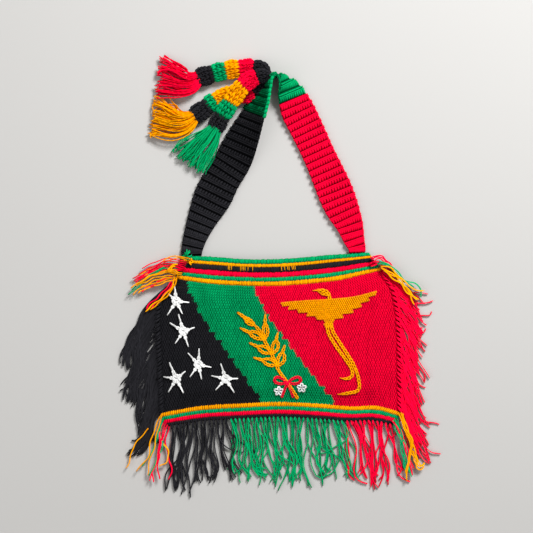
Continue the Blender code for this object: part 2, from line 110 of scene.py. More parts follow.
@dataclass(frozen=True)
class YarnFinish:
    """How one yarn looks: its colour, the colour of its painted shade, how soft its surface is and how
    far its colour varies, painted shade included.
    """

    yarn: Yarn
    colour: tuple[float, float, float]
    shadow: tuple[float, float, float]
    roughness: float = 0.9
    sheen: float = 0.01
    unevenness: float = 0.12
    relief: float = 0.0004

    def material(self) -> bpy.types.Material:
        """The yarn's material, made once.

        Returns:
            A Principled material whose colour, roughness and bump follow the yarn's own UV map.
        """
        name = f"twisted_{self.yarn.value}"
        if name in bpy.data.materials:
            return bpy.data.materials[name]
        material, tree, shader = new_material(name)
        place = add(tree, "TexCoord")
        twist = add_group(tree, yarn_twist_group(), Strand=place["UV"])
        shaded_colour = add_group(
            tree,
            yarn_colour_and_shade_group(),
            Colour=(*self.colour, 1.0),
            Shadow=(*self.shadow, 1.0),
            Unevenness=self.unevenness,
            Groove=twist["Groove"],
            Place=place["Object"],
            # the tint and recess attributes bring painted shade into the colour
            Tint=read_attribute(tree, "tint"),
            Recess=read_attribute(tree, "recess"),
        )
        low, high = self.roughness - 0.08, min(self.roughness + 0.12, 1.0)
        rough = add(tree, "MapRange", Value=twist["Groove"], To_Min=low, To_Max=high)
        bump = add(tree, "Bump", Strength=0.55, Distance=self.relief, Height=twist["Height"])
        fill(
            shader,
            Base_Color=shaded_colour["Colour"],
            Metallic=0.0,
            Roughness=rough["Result"],
            Specular_IOR_Level=0.0,
            Sheen_Weight=self.sheen,
            Sheen_Roughness=0.45,
            Sheen_Tint=(*self.colour, 1.0),
            Normal=bump["Normal"],
        )
        return material


@dataclass(frozen=True)
class BackingFinish:
    """The close cloth between and behind the stitches, in the colours of its own attribute: painted
    shade, darker than the yarn in front of it.
    """

    name: str = "shaded_backing_cloth"
    roughness: float = 0.95
    grain: float = 900.0
    relief: float = 0.0004

    def material(self) -> bpy.types.Material:
        """The backing's material, made once.

        Returns:
            A Principled material that reads the piece's colour attribute.
        """
        if self.name in bpy.data.materials:
            return bpy.data.materials[self.name]
        material, tree, shader = new_material(self.name)
        place = add(tree, "TexCoord")["Object"]
        noise = add(tree, "TexNoise", Vector=place, Scale=self.grain, Detail=3.0)["Fac"]
        shade = add(tree, "MapRange", Value=noise, To_Min=0.55, To_Max=1.15)["Result"]
        tone = read_attribute(tree, "shaded_cloth_colour", "Color")
        bump = add(tree, "Bump", Strength=0.5, Distance=self.relief, Height=noise)
        fill(
            shader,
            Base_Color=mixed(tree, tone, shade, how="MULTIPLY"),
            Roughness=self.roughness,
            Specular_IOR_Level=0.0,
            Normal=bump["Normal"],
        )
        return material


# each yarn's colour, then the darker colour that its painted shade goes to
FINISHES = {
    K: YarnFinish(K, (0.019, 0.0187, 0.022), (0.0025, 0.0025, 0.003), sheen=0.005),
    G: YarnFinish(G, (0.0016, 0.36, 0.121), (0.0003, 0.05, 0.017)),
    R: YarnFinish(R, (0.97, 0.0018, 0.04), (0.24, 0.0005, 0.008)),
    Y: YarnFinish(Y, (0.9, 0.37, 0.0004), (0.42, 0.07, 0.001)),
    W: YarnFinish(W, (0.76, 0.765, 0.76), (0.38, 0.38, 0.37)),
}


def new_material(name: str) -> tuple[bpy.types.Material, Tree, bpy.types.Node]:
    """A new material, its node tree and its shader."""
    material = bpy.data.materials.new(name)
    material.use_nodes = True
    tree = material.node_tree
    return material, tree, tree.nodes["Principled BSDF"]


def put(socket: Socket, value: object) -> None:
    """Links another socket to this one, or gives it a plain value."""
    if isinstance(value, Socket):
        socket.id_data.links.new(value, socket)
    else:
        socket.default_value = value


def fill(node: bpy.types.Node, **values: object) -> Outputs:
    """Fills a node's inputs.

    Args:
        node: The node.
        values: A socket or a plain value under each input's name, with _ for a space.

    Returns:
        The node's outputs.
    """
    for name, value in values.items():
        put(node.inputs[name.replace("_", " ")], value)
    return node.outputs


def add(tree: Tree, kind: str, **values: object) -> Outputs:
    """Adds a shader node and fills its inputs."""
    return fill(tree.nodes.new(f"ShaderNode{kind}"), **values)


def add_group(tree: Tree, group: Tree, **values: object) -> Outputs:
    """Places a shared node group and fills its inputs."""
    node = tree.nodes.new("ShaderNodeGroup")
    node.node_tree = group
    return fill(node, **values)


def read_attribute(tree: Tree, name: str, output: str = "Fac") -> Socket:
    """The value of one of the mesh's own attributes."""
    node = tree.nodes.new("ShaderNodeAttribute")
    node.attribute_name = name
    return node.outputs[output]


def mixed(
    tree: Tree, first: Socket, second: Socket, factor: object = 1.0, how: str = "MIX"
) -> Socket:
    """Mixes two colours.

    Args:
        tree: The tree to add the Mix node to.
        first: The colour at a factor of 0.
        second: The colour at a factor of 1.
        factor: A socket or a number.
        how: Blender's name for the way they mix.

    Returns:
        The mixed colour.
    """
    node = tree.nodes.new("ShaderNodeMix")
    node.data_type = "RGBA"
    node.blend_type = how
    return fill(node, Factor=factor, A=first, B=second)["Result"]


def math_node(tree: Tree, operation: str, *values: object) -> Socket:
    """Adds one Math node.

    Args:
        tree: The tree to add it to.
        operation: Blender's name for the sum.
        values: Its sockets or numbers, in order.

    Returns:
        The node's result.
    """
    node = tree.nodes.new("ShaderNodeMath")
    node.operation = operation
    for socket, value in zip(node.inputs, values, strict=False):
        put(socket, value)
    return node.outputs["Value"]


def new_group(
    name: str, inputs: dict[str, str], outputs: dict[str, str]
) -> tuple[Tree, Outputs, bpy.types.Node]:
    """Starts a shader node group.

    Args:
        name: The group's name.
        inputs: Each input's kind of socket, by name.
        outputs: Each output's kind of socket, by name.

    Returns:
        The group, what comes into it, and its output node.
    """
    group = bpy.data.node_groups.new(name, "ShaderNodeTree")
    for sockets, way in ((inputs, "INPUT"), (outputs, "OUTPUT")):
        for label, kind in sockets.items():
            group.interface.new_socket(label, in_out=way, socket_type=f"NodeSocket{kind}")
    return group, group.nodes.new("NodeGroupInput").outputs, group.nodes.new("NodeGroupOutput")


def yarn_twist_group() -> Tree:
    """The twist of a three-ply yarn along a strand's UV map: its height and its grooves."""
    name = "yarn_twist"
    if name in bpy.data.node_groups:
        return bpy.data.node_groups[name]
    group, given, end = new_group(
        name, {"Strand": "Vector"}, {"Height": "Float", "Groove": "Float"}
    )
    strand = add(group, "SeparateXYZ", Vector=given["Strand"])
    around = math_node(group, "MULTIPLY", strand["X"], 3.0)
    turns = math_node(group, "ADD", around, strand["Y"])
    wave = math_node(group, "SINE", math_node(group, "MULTIPLY", turns, math.tau))
    ply = math_node(group, "MULTIPLY_ADD", wave, 0.5, 0.5)
    stretch = add(
        group,
        "CombineXYZ",
        X=math_node(group, "MULTIPLY", turns, 2.2),
        Y=math_node(group, "MULTIPLY", strand["Y"], 0.5),
    )
    fibres = add(group, "TexNoise", Vector=stretch["Vector"], Scale=6.0, Detail=3.0)
    fuzz = math_node(group, "MULTIPLY", fibres["Fac"], 0.45)
    height = math_node(group, "ADD", ply, fuzz)
    fill(end, Height=height, Groove=math_node(group, "SUBTRACT", 1.0, ply))
    return group


def yarn_colour_and_shade_group() -> Tree:
    """The colour of a yarn: its base colour, each stitch's tint, broad patches, and painted shade in its
    hollows.
    """
    name = "yarn_colour_and_shade"
    if name in bpy.data.node_groups:
        return bpy.data.node_groups[name]
    numbers = dict.fromkeys(("Unevenness", "Groove", "Tint", "Recess"), "Float")
    inputs = {"Colour": "Color", "Shadow": "Color", **numbers, "Place": "Vector"}
    group, given, end = new_group(name, inputs, {"Colour": "Color"})
    # broad random patches: painted shade of soft folds, together with uneven colour
    cloud = add(group, "TexNoise", Vector=given["Place"], Scale=30.0, Detail=2.0)["Fac"]
    broad = math_node(group, "MULTIPLY", math_node(group, "SUBTRACT", cloud, 0.5), 2.8)
    own = math_node(group, "ADD", given["Tint"], broad)
    bright = math_node(group, "MULTIPLY_ADD", own, given["Unevenness"], 1.0)
    lit = mixed(group, given["Colour"], bright, how="MULTIPLY")
    # painted shade in the ply grooves and where the yarn lies under its neighbours
    groove_shade = math_node(group, "MULTIPLY", given["Groove"], 0.3)
    hollow_shade = math_node(group, "MAXIMUM", given["Recess"], groove_shade)
    fill(end, Colour=mixed(group, lit, given["Shadow"], hollow_shade))
    return group


@dataclass(frozen=True)
class Table:
    """A short table with named columns, read on smooth curves along its rows."""

    columns: str
    rows: tuple[tuple[float, ...], ...]

    def read(self, name: str, at: Array | float) -> Array:
        """One column at a share of the table's length.

        Args:
            name: The column's name.
            at: Values of the share column, or of the rows' even spacing if there is none.

        Returns:
            The column's values there.
        """
        names = self.columns.split()
        data = np.array(self.rows)
        keys = data[:, names.index("share")] if "share" in names else None
        if keys is None:
            keys = np.linspace(0.0, 1.0, len(data))
        values = data[:, names.index(name)]
        at = np.asarray(at, float)
        slopes = np.gradient(values, keys)
        cell = np.clip(np.searchsorted(keys, at) - 1, 0, len(keys) - 2)
        span = keys[cell + 1] - keys[cell]
        part = (at - keys[cell]) / span
        start = values[cell] * (1 + 2 * part) + span * slopes[cell] * part
        end = values[cell + 1] * (3 - 2 * part) - span * slopes[cell + 1] * (1 - part)
        return start * (1 - part) ** 2 + end * part**2

    def points(self, names: str, at: Array) -> Array:
        """Several columns at once, as the last axis of the result."""
        return np.stack([self.read(name, at) for name in names.split()], axis=-1)

    def evenly(self, count: int = 60) -> "Table":
        """The same curves, as rows at even distances along x and y.

        Args:
            count: How many rows.

        Returns:
            The new table.
        """
        fine = np.linspace(0, 1, 10 * count)
        run = run_along(self.points("x y", fine))
        at = np.interp(np.linspace(0, run[-1], count), run, fine)
        return Table(self.columns, tuple(map(tuple, self.points(self.columns, at))))


def run_along(points: Array) -> Array:
    """How far each point of a line is along it, for one line or for many."""
    steps = np.linalg.norm(np.diff(points, axis=-2), axis=-1)
    return np.concatenate([np.zeros((*steps.shape[:-1], 1)), np.cumsum(steps, axis=-1)], axis=-1)


def through(points: Array) -> Table:
    """A smooth curve through points in plan, spaced as they are."""
    gone = run_along(points)
    return Table("share x y", tuple(zip(gone / gone[-1], *points.T, strict=True)))


def blend(start: Array | float, end: Array | float, share: Array | float) -> Array:
    """The value a share of the way from start to end."""
    return start + (end - start) * share


def eased(value: Array) -> Array:
    """0 below 0 and 1 above 1, with a smooth run between."""
    part = np.clip(value, 0.0, 1.0)
    return part * part * (3 - 2 * part)


def unit(vectors: Array) -> Array:
    """Vectors scaled to a length of 1."""
    return vectors / np.maximum(np.linalg.norm(vectors, axis=-1, keepdims=True), 1e-12)


def aim(turn: Array | float) -> Array:
    """Directions in plan for turns in radians."""
    return np.stack([np.cos(turn), np.sin(turn)], axis=-1)


def left_of(ahead: Array) -> Array:
    """Directions in plan, turned a quarter to the left."""
    return np.stack([-ahead[..., 1], ahead[..., 0]], axis=-1)


def together(u: Array | float, v: Array | float) -> tuple[Array, Array]:
    """Two sets of shares, brought to one shape."""
    return np.broadcast_arrays(np.asarray(u, float), np.asarray(v, float))


def every(values: Sequence[float], shape: Sequence[int]) -> Array:
    """The same row of values for each of many strands."""
    return np.broadcast_to(np.array(values, float), shape)


class Surface:
    """A face of the cloth, addressed by shares of its width (u) and of its length (v)."""

    step = 1e-3

    def point(self, u: Array, v: Array) -> Array:
        """Places on the face."""
        raise NotImplementedError

    def place(self, u: Array, v: Array, lift: Array | float) -> tuple[Array, Array]:
        """Places lifted off the face.

        Args:
            u: Shares of its width.
            v: Shares of its length.
            lift: Distances off the face.

        Returns:
            The places, and the face's outward normals there.
        """
        along_u = self.point(u + self.step, v) - self.point(u - self.step, v)
        along_v = self.point(u, v + self.step) - self.point(u, v - self.step)
        normal = unit(np.cross(along_u, along_v))
        return self.point(u, v) + normal * np.asarray(lift)[..., None], normal


@dataclass(frozen=True)
class Crease:
    """A soft trough or ridge of the front panel, upright but for its lean."""

    x: float
    y: float
    length: float
    width: float
    depth: float
    lean: float = 0.0

    def height(self, x: Array, y: Array) -> Array:
        """The crease's height at places in plan, below 0 in a trough."""
        along = (y - self.y) / self.length
        across = (x - self.x - self.lean * (y - self.y)) / self.width
        return CREASE_RISE * self.depth * np.exp(-(along**2) - across**2)


CREASES = tuple(
    Crease(*row)
    for row in (
        (-0.057, -0.055, 0.034, 0.0085, -0.0017, -0.15), (-0.079, -0.047, 0.03, 0.0095, 0.0014, -0.25),
        (-0.102, -0.024, 0.022, 0.007, -0.0012), (-0.036, -0.026, 0.02, 0.008, 0.001),
        (-0.043, -0.11, 0.03, 0.009, 0.001, -0.3), (-0.014, -0.14, 0.028, 0.008, -0.001),
        (0.04, -0.15, 0.03, 0.01, 0.001), (0.05, -0.075, 0.03, 0.0075, -0.0009, -0.2),
        (0.078, -0.1, 0.034, 0.009, 0.0009, -0.3), (0.101, -0.06, 0.03, 0.008, 0.001),
        (0.118, -0.045, 0.034, 0.006, -0.0013, 0.1), (0.133, -0.075, 0.04, 0.007, 0.0013),
        (0.125, -0.13, 0.03, 0.008, 0.001), (0.146, -0.15, 0.024, 0.006, -0.0015),
        (-0.13, -0.1, 0.04, 0.009, 0.0008), (-0.108, -0.09, 0.04, 0.008, -0.0008, -0.2),
    )
)


@dataclass(frozen=True)
class Body:
    """Plan and heights of the bag's body: its panels, mouth band and foot border."""

    sides: Table = Table(
        "share left right",
        (
            (0.0, -0.1495, 0.1625), (0.25, -0.1517, 0.1617), (0.5, -0.1534, 0.1612),
            (0.75, -0.154, 0.158), (0.88, -0.1495, 0.152), (1.0, -0.13, 0.1365),
        ),
    )
    lines: Table = Table(
        "share foot border top mouth",
        (
            (0.0, -0.196, -0.179, -0.005, 0.025), (0.16, -0.189, -0.17, -0.0108, 0.0235),
            (0.33, -0.1862, -0.1665, -0.0135, 0.0204), (0.5, -0.1842, -0.1645, -0.0138, 0.0203),
            (0.67, -0.1866, -0.167, -0.0104, 0.023), (0.8, -0.1895, -0.1702, -0.0062, 0.026),
            (0.9, -0.189, -0.1696, 0.0, 0.0272), (1.0, -0.195, -0.178, 0.006, 0.029),
        ),
    )
    mouth_ends: Pair = (-0.123, 0.12)
    foot_ends: Pair = (-0.143, 0.155)

    def plan(self, zone: Zone, u: Array, v: Array) -> Array:
        """Places in plan.

        Args:
            zone: Which part of the body.
            u: Shares of its width, from the left.
            v: Shares of its height, from the foot.

        Returns:
            x and y as the last axis.
        """
        u, v = together(u, v)
        if zone is Zone.PANEL:
            x = blend(*self.across(v), u)
        elif zone is Zone.MOUTH:
            x = blend(blend(*self.across(1.0), u), blend(*self.mouth_ends, u), v)
        else:
            x = blend(blend(*self.foot_ends, u), blend(*self.across(0.0), u), v)
        low, high = (self.lines.read(line, u) for line in zone.value.split())
        return np.stack([x, blend(low, high, v)], axis=-1)

    def across(self, v: Array | float) -> tuple[Array, Array]:
        """Where the panel's left and right edges are at shares of its height."""
        return self.sides.read("left", v), self.sides.read("right", v)

    def underside(self, zone: Zone, u: Array, v: Array) -> Array:
        """Height of the front layer's underside.

        Args:
            zone: Which part of the body.
            u: Shares of its width.
            v: Shares of its height.

        Returns:
            Heights above the ground.
        """
        if zone is Zone.BORDER:
            return np.full(np.broadcast(u, v).shape, LAYER + SEAT)
        up = v if zone is Zone.PANEL else np.ones_like(v)
        rise = eased(np.minimum(u, 1 - u) / SIDE_FALL) * eased(up / FOOT_FALL)
        waves = 0.5 + 0.5 * np.sin(u * 19.0 + 1.4 * np.sin(up * 3.0))
        x, y = np.moveaxis(self.plan(zone, u, v), -1, 0)
        creases = sum(crease.height(x, y) for crease in CREASES)
        return LAYER + SEAT + POCKET * rise + FOLD * waves * rise + creases * rise

    def shares(self, x: Array, y: Array) -> tuple[Array, Array]:
        """The front panel's shares at places in plan, found by going back and forth.

        Args:
            x: Distances to the right.
            y: Distances up the bag.

        Returns:
            Shares of the panel's width and height.
        """
        u, v = np.full_like(x, 0.5), np.full_like(y, 0.5)
        for _ in range(12):
            left, right = self.across(v)
            u = np.clip((x - left) / (right - left), 0.0, 1.0)
            low, high = self.lines.read("border", u), self.lines.read("top", u)
            v = np.clip((y - low) / (high - low), 0.0, 1.0)
        return u, v


BODY = Body()


@dataclass(frozen=True)
class BodyFace(Surface):
    """An outer face of the body: the front one looks up and the back one looks down."""

    zone: Zone
    front: bool
    height: float = 0.0

    def point(self, u: Array, v: Array) -> Array:
        """Places on the face."""
        u, v = together(u, v)
        if self.front:
            level = BODY.underside(self.zone, u, v) + self.height
            return np.concatenate([BODY.plan(self.zone, u, v), level[..., None]], axis=-1)
        plan = BODY.plan(self.zone, 1 - u, v)
        return np.concatenate([plan, np.full((*u.shape, 1), self.height)], axis=-1)


@dataclass(frozen=True)
class StrapFace(Surface):
    """One face of a length of the strap. Roll lifts the edge that faces into the loop."""

    rows: Table
    height: float
    upper: bool = True
    ribs: int = 0
    swell: float = 0.0
    climb: float = 0.2  # the share of a rib that climbs; the rest falls
    lift: float = 0.0002
    thickness: float = 0.004

    def point(self, u: Array, v: Array) -> Array:
        """Places on the face."""
        u, v = together(u, v)
        if not self.upper:
            u = 1 - u
        here = self.rows.points("x y", v)
        ahead = self.rows.points("x y", v + 0.01) - self.rows.points("x y", v - 0.01)
        ahead = unit(np.concatenate([ahead, np.zeros((*v.shape, 1))], axis=-1))
        inward = np.stack([ahead[..., 1], -ahead[..., 0], np.zeros(v.shape)], axis=-1)
        roll = np.radians(self.rows.read("roll", v))
        width = self.rows.read("width", v)
        edge = inward * np.cos(roll)[..., None] + UP * np.sin(roll)[..., None]
        normal = np.cross(edge, ahead)
        level = width / 2 * np.sin(roll) + self.thickness / 2 * np.cos(roll) + self.lift
        centre = np.concatenate([here, level[..., None]], axis=-1)
        phase = np.mod(v * self.ribs, 1.0)
        fallen = np.clip((phase - self.climb) / (1 - self.climb), 0, 1)
        wave = self.swell * eased(phase / self.climb) * (1 - fallen**1.8)
        off = (self.height + wave) * (1 if self.upper else -1)
        return centre + edge * ((u - 0.5) * width)[..., None] + normal * off[..., None]


@dataclass(frozen=True)
class TubeFace(Surface):
    """The outside of a soft oval tube. u runs round it and v along it."""

    rows: Table
    inset: float = 0.0
    ends: tuple[float, ...] = ()  # shares where it is drawn in between puffs
    puff: float = 0.19

    def plumpness(self, u: Array, v: Array) -> Array | float:
        """How much wider than its table the tube is, from its puffs and their lumps."""
        if not self.ends:
            return 1.0
        inside = np.interp(v, self.ends, np.arange(len(self.ends)))
        inside = np.abs(np.sin(math.pi * inside)) ** 0.8
        lumps = np.sin(math.tau * (2 * u + 3.1 * v)) * np.sin(math.tau * (6.7 * v - u) + 1.0)
        return 1 + self.puff * (inside - 0.45) + 0.045 * lumps

    def frames(self, v: Array) -> tuple[Array, Array, Array]:
        """Centre, sideways and upward directions at shares of the tube's length."""
        centre = self.rows.points("x y z", v)
        ahead = unit(self.rows.points("x y z", v + 0.02) - self.rows.points("x y z", v - 0.02))
        side = unit(np.cross(UP, ahead))
        return centre, side, np.cross(ahead, side)

    def point(self, u: Array, v: Array) -> Array:
        """Places on the tube."""
        u, v = together(u, v)
        centre, side, rise = self.frames(v)
        plump = self.plumpness(u, v)
        wide = self.rows.read("wide", v) * plump - self.inset
        high = self.rows.read("high", v) - self.inset
        across = side * (wide * np.cos(math.tau * u))[..., None]
        return centre + across + rise * (high * np.sin(math.tau * u))[..., None]


@dataclass
class Tubes:
    """Many yarn tubes with the same number of rings, as arrays."""

    paths: Array
    ups: Array
    radius: Array
    yarn: Yarn
    # each tube's random tint, which on the straps also carries painted shade
    tint: Array
    # painted shade at each point of each tube, where it lies under its neighbours
    recess: Array
    flat: float = 0.85
    sides: int = 5

    @property
    def rings(self) -> int:
        """Rings to a tube."""
        return self.paths.shape[1]


def rod(rings: int, sides: int) -> bmesh.types.BMesh:
    """An upright rod with closed ends, 1 high and 1 in radius.

    Args:
        rings: How many rings it has along it.
        sides: How many sides it has round it.

    Returns:
        The rod.
    """
    form = bmesh.new()
    bmesh.ops.create_cone(
        form, cap_ends=True, segments=sides, radius1=1.0, radius2=1.0, depth=1.0
    )
    upright = [e for e in form.edges if abs(e.verts[0].co.z - e.verts[1].co.z) > 0.5]
    if rings > 2:
        bmesh.ops.subdivide_edges(form, edges=upright, cuts=rings - 2, use_grid_fill=True)
    return form


def ring_template(rings: int, sides: int) -> tuple[Array, Array, list[tuple[int, ...]]]:
    """The faces of one closed tube.

    Args:
        rings: How many rings it has along it.
        sides: How many sides it has round it.

    Returns:
        Each vertex's ring, each vertex's side, and the faces.
    """
    form = rod(rings, sides)
    places = np.array([vert.co for vert in form.verts])
    ring = np.rint((places[:, 2] + 0.5) * (rings - 1)).astype(int)
    turn = np.arctan2(places[:, 1], places[:, 0]) / math.tau * sides
    faces = [tuple(vert.index for vert in face.verts) for face in form.faces]
    form.free()
    return ring, np.rint(turn).astype(int) % sides, faces


def show(name: str, data: bpy.types.ID) -> Piece:
    """Puts a mesh, a light or a camera in the scene as an object."""
    made = bpy.data.objects.new(name, data)
    bpy.context.scene.collection.objects.link(made)
    return made


def yarn_mesh(name: str, bundles: Sequence[Tubes]) -> Piece:
    """Joins sets of yarn tubes into one object.

    Args:
        name: The object's name.
        bundles: The sets of tubes.

    Returns:
        The object, with a material for each yarn and the attributes that they read.
    """
    yarns = list(dict.fromkeys(bundle.yarn for bundle in bundles))
    points, loops, sizes, slots, uvs, tints, sunk = [], [], [], [], [], [], []
    start = 0
    for bundle in bundles:
        sides = bundle.sides
        ring, side, faces = ring_template(bundle.rings, sides)
        count = len(bundle.paths)
        ahead = unit(np.gradient(bundle.paths, axis=1))
        across = unit(np.cross(bundle.ups, ahead))
        rise = np.cross(ahead, across)
        turn = side / sides * math.tau
        reach = bundle.radius[:, ring, None]
        ring_points = (
            bundle.paths[:, ring]
            + across[:, ring] * np.cos(turn)[:, None] * reach
            + rise[:, ring] * np.sin(turn)[:, None] * reach * bundle.flat
        )
        ring_points[..., 2] = np.maximum(ring_points[..., 2], PRESSED)
        points.append(ring_points.reshape(-1, 3))
        run = run_along(bundle.paths) / (bundle.radius.mean() * TWIST_LENGTH)
        flat_loops = np.concatenate([np.array(face) for face in faces])
        around = []
        for face in faces:
            turns = side[list(face)]
            seam = turns.max() - turns.min() > sides / 2
            around.append(np.where(seam & (turns == 0), sides, turns) / sides)
        shift = (np.arange(count) * len(ring) + start)[:, None]
        loops.append((flat_loops[None] + shift).ravel())
        sizes.append(np.tile([len(face) for face in faces], count))
        slots.append(np.full(len(faces) * count, yarns.index(bundle.yarn)))
        around = np.tile(np.concatenate(around), (count, 1))
        uvs.append(np.stack([around, run[:, ring[flat_loops]]], axis=-1).reshape(-1, 2))
        tints.append(np.repeat(bundle.tint, len(ring)))
        # each ring's painted shade
        sunk.append(bundle.recess[:, ring].ravel())
        start += count * len(ring)
    mesh = bpy.data.meshes.new(name)
    all_points, all_loops, all_sizes = map(np.concatenate, (points, loops, sizes))
    mesh.vertices.add(len(all_points))
    mesh.vertices.foreach_set("co", all_points.astype(np.float32).ravel())
    mesh.loops.add(len(all_loops))
    mesh.loops.foreach_set("vertex_index", all_loops.astype(np.int32))
    mesh.polygons.add(len(all_sizes))
    starts = np.concatenate([[0], np.cumsum(all_sizes)[:-1]])
    mesh.polygons.foreach_set("loop_start", starts.astype(np.int32))
    mesh.polygons.foreach_set("material_index", np.concatenate(slots).astype(np.int32))
    mesh.update(calc_edges=True)
    mesh.polygons.foreach_set("use_smooth", np.ones(len(all_sizes), bool))
    layer = mesh.uv_layers.new(name="yarn")
    layer.data.foreach_set("uv", np.concatenate(uvs).astype(np.float32).ravel())
    # the tint and recess attributes carry painted shade, which the yarn material reads
    for label, values in (("tint", tints), ("recess", sunk)):
        data = mesh.attributes.new(label, "FLOAT", "POINT").data
        data.foreach_set("value", np.concatenate(values).astype(np.float32))
    mesh.validate()
    for yarn in yarns:
        mesh.materials.append(FINISHES[yarn].material())
    return show(name, mesh)


@dataclass(frozen=True)
class Leg:
    """One leg of a stitch, in its own cell.

    Its path's columns are the share across the cell, the share up it, the lift off the cloth as a
    share of the stitch's stand, and how much painted shade it gets from its neighbours.
    """

    path: tuple[tuple[float, float, float, float], ...]
    radius: float
    ends: float = 0.65

    def mirrored(self) -> "Leg":
        """The same leg on the other side of the stitch."""
        flipped = tuple((1 - across, *rest) for across, *rest in self.path)
        return Leg(flipped, self.radius, self.ends)

    def pair(self) -> "tuple[Leg, Leg]":
        """The two legs of a stitch that opens like a V."""
        return self, self.mirrored()


V_LEG = Leg(
    ((0.48, -0.24, 0.2, 0.8), (0.17, 0.12, 1.0, 0.0), (0.13, 0.56, 1.1, 0.0), (0.4, 0.97, 0.5, 0.3)),
    0.168,
)
CHUNKY = Leg(
    ((0.47, -0.3, 0.1, 0.7), (0.38, 0.16, 0.95, 0.1), (0.24, 0.58, 1.0, 0.0), (0.18, 1.02, 0.0, 0.7)),
    0.29,
)
TOOTH = Leg(
    ((0.05, -0.04, 0.1, 0.6), (0.34, 0.26, 1.0, 0.05), (0.66, 0.72, 1.0, 0.0), (0.95, 1.02, 0.2, 0.5)),
    0.54,
)
SLASH = Leg(
    ((0.34, -0.1, 0.8, 0.1), (0.43, 0.25, 1.0, 0.0), (0.57, 0.68, 0.9, 0.0), (0.66, 1.0, -0.8, 1.0)),
    0.5,
    0.75,
)
BAR = Leg(
    ((-0.25, 0.38, 0.5, 0.4), (0.15, 0.52, 1.0, 0.0), (0.8, 0.56, 1.0, 0.0), (1.2, 0.4, 0.5, 0.3)),
    0.37,
    0.8,
)
DROP = Leg(
    ((0.5, 1.25, 0.6, 0.0), (0.55, 0.85, 1.3, 0.0), (0.45, 0.45, 1.3, 0.0), (0.5, 0.1, 0.2, 0.3)),
    0.22,
)
LOW = Leg(((0.3, -0.1, 0.4, 0.4), (0.5, 0.5, 1.0, 0.0), (0.7, 1.1, 0.4, 0.4)), 0.34)


@dataclass
class Stitches:
    """Rows of stitches on a face of the cloth."""

    surface: Surface
    seed: int
    jitter: float = 0.03
    ragged: float = 0.0
    uneven: float = 0.05
    sides: int = 5
    # painted shade: a tint added to the first rows and, blended, to the last
    shade: Pair = (0.0, 0.0)  # tint of the first rows and of the last

    def work(
        self,
        cells: Array,
        yarn: Yarn,
        legs: Sequence[Leg],
        width: float,
        proud: float = 0.00055,
    ) -> list[Tubes]:
        """Works one stitch in each cell.

        Args:
            cells: The low and high shares of each cell's width and length, in rows of four.
            yarn: The yarn to use.
            legs: The legs of the stitch.
            width: The stitch's width in metres, which its legs' thickness follows.
            proud: How far the middle of a leg stands off the backing.

        Returns:
            One set of tubes for each leg.
        """
        if not len(cells):
            return []
        made = []
        draw = default_rng(self.seed)
        count = len(cells)
        shift = draw.normal(0, self.jitter, (count, 1))
        # each stitch's random tint, plus painted shade from the first rows to the last
        tint = draw.normal(0, 0.5, count) + blend(*self.shade, eased(cells[:, 2]))
        swell = draw.normal(1.0, self.uneven, (count, 1))
        reach = draw.normal(0, self.ragged, (count, 1))
        for leg in legs:
            path = np.array(leg.path)
            u = cells[:, :1] + (path[None, :, 0] + shift) * (cells[:, 1:2] - cells[:, :1])
            up = path[None, :, 1] + reach * (2 * path[None, :, 1] - 1)
            v = cells[:, 2:3] + up * (cells[:, 3:4] - cells[:, 2:3])
            lift = np.broadcast_to(path[None, :, 2] * proud, u.shape)
            places, normals = self.surface.place(u, v, lift)
            taper = np.where((np.arange(len(path)) % (len(path) - 1)) == 0, leg.ends, 1.0)
            radius = leg.radius * width * taper[None] * swell
            # painted shade where the leg tucks under its neighbours
            recess = np.broadcast_to(path[:, 3], u.shape)
            made.append(Tubes(places, normals, radius, yarn, tint, recess, sides=self.sides))
        return made


def grid_cells(columns: int, low: float, high: float, start: float = 0.0) -> Array:
    """The cells of one row of stitches.

    Args:
        columns: How many stitches.
        low: The share where the row starts.
        high: The share where it ends.
        start: How far along each stitch the row is shifted.

    Returns:
        Rows of low u, high u, low v, high v.
    """
    left = (np.arange(columns) + start) / columns
    row = np.stack([left, left + 1 / columns], axis=1)
    return np.concatenate([row, np.tile([low, high], (columns, 1))], axis=1)


def worked_rows(columns: int, rows: int, seed: int) -> Array:
    """The cells of a whole cloth, each row set about half a stitch off the one below it.

    Args:
        columns: How many stitches to a row.
        rows: How many rows.
        seed: The seed of the cloth's random draws.

    Returns:
        Rows of low u, high u, low v, high v.
    """
    draw = default_rng(seed)
    starts = 0.5 * (np.arange(rows) % 2) - 0.25 + draw.normal(0, 0.025, rows)
    made = [grid_cells(columns + 1, r / rows, (r + 1) / rows) for r in range(rows)]
    for row, start in zip(made, starts, strict=True):
        row[:, :2] = row[:, :2] * (columns + 1) / columns + start / columns
    cells = np.concatenate(made)
    return cells[(cells[:, 0] > -0.35 / columns) & (cells[:, 1] < 1 + 0.35 / columns)]


def soft_object(name: str, form: bmesh.types.BMesh, tones: Array) -> Piece:
    """Finishes a closed shape as backing cloth.

    Args:
        name: The object's name.
        form: The shape, which is freed.
        tones: A colour for each of its vertices.

    Returns:
        The smooth cloth, with its colour attribute and material.
    """
    bmesh.ops.recalc_face_normals(form, faces=form.faces[:])
    mesh = bpy.data.meshes.new(name)
    form.to_mesh(mesh)
    form.free()
    # the backing's colours, darkened as painted shade
    painted = mesh.attributes.new("shaded_cloth_colour", "FLOAT_COLOR", "POINT")
    painted.data.foreach_set("color", tones.astype(np.float32).ravel())
    mesh.polygons.foreach_set("use_smooth", np.ones(len(mesh.polygons), bool))
    mesh.materials.append(BackingFinish().material())
    return show(name, mesh)


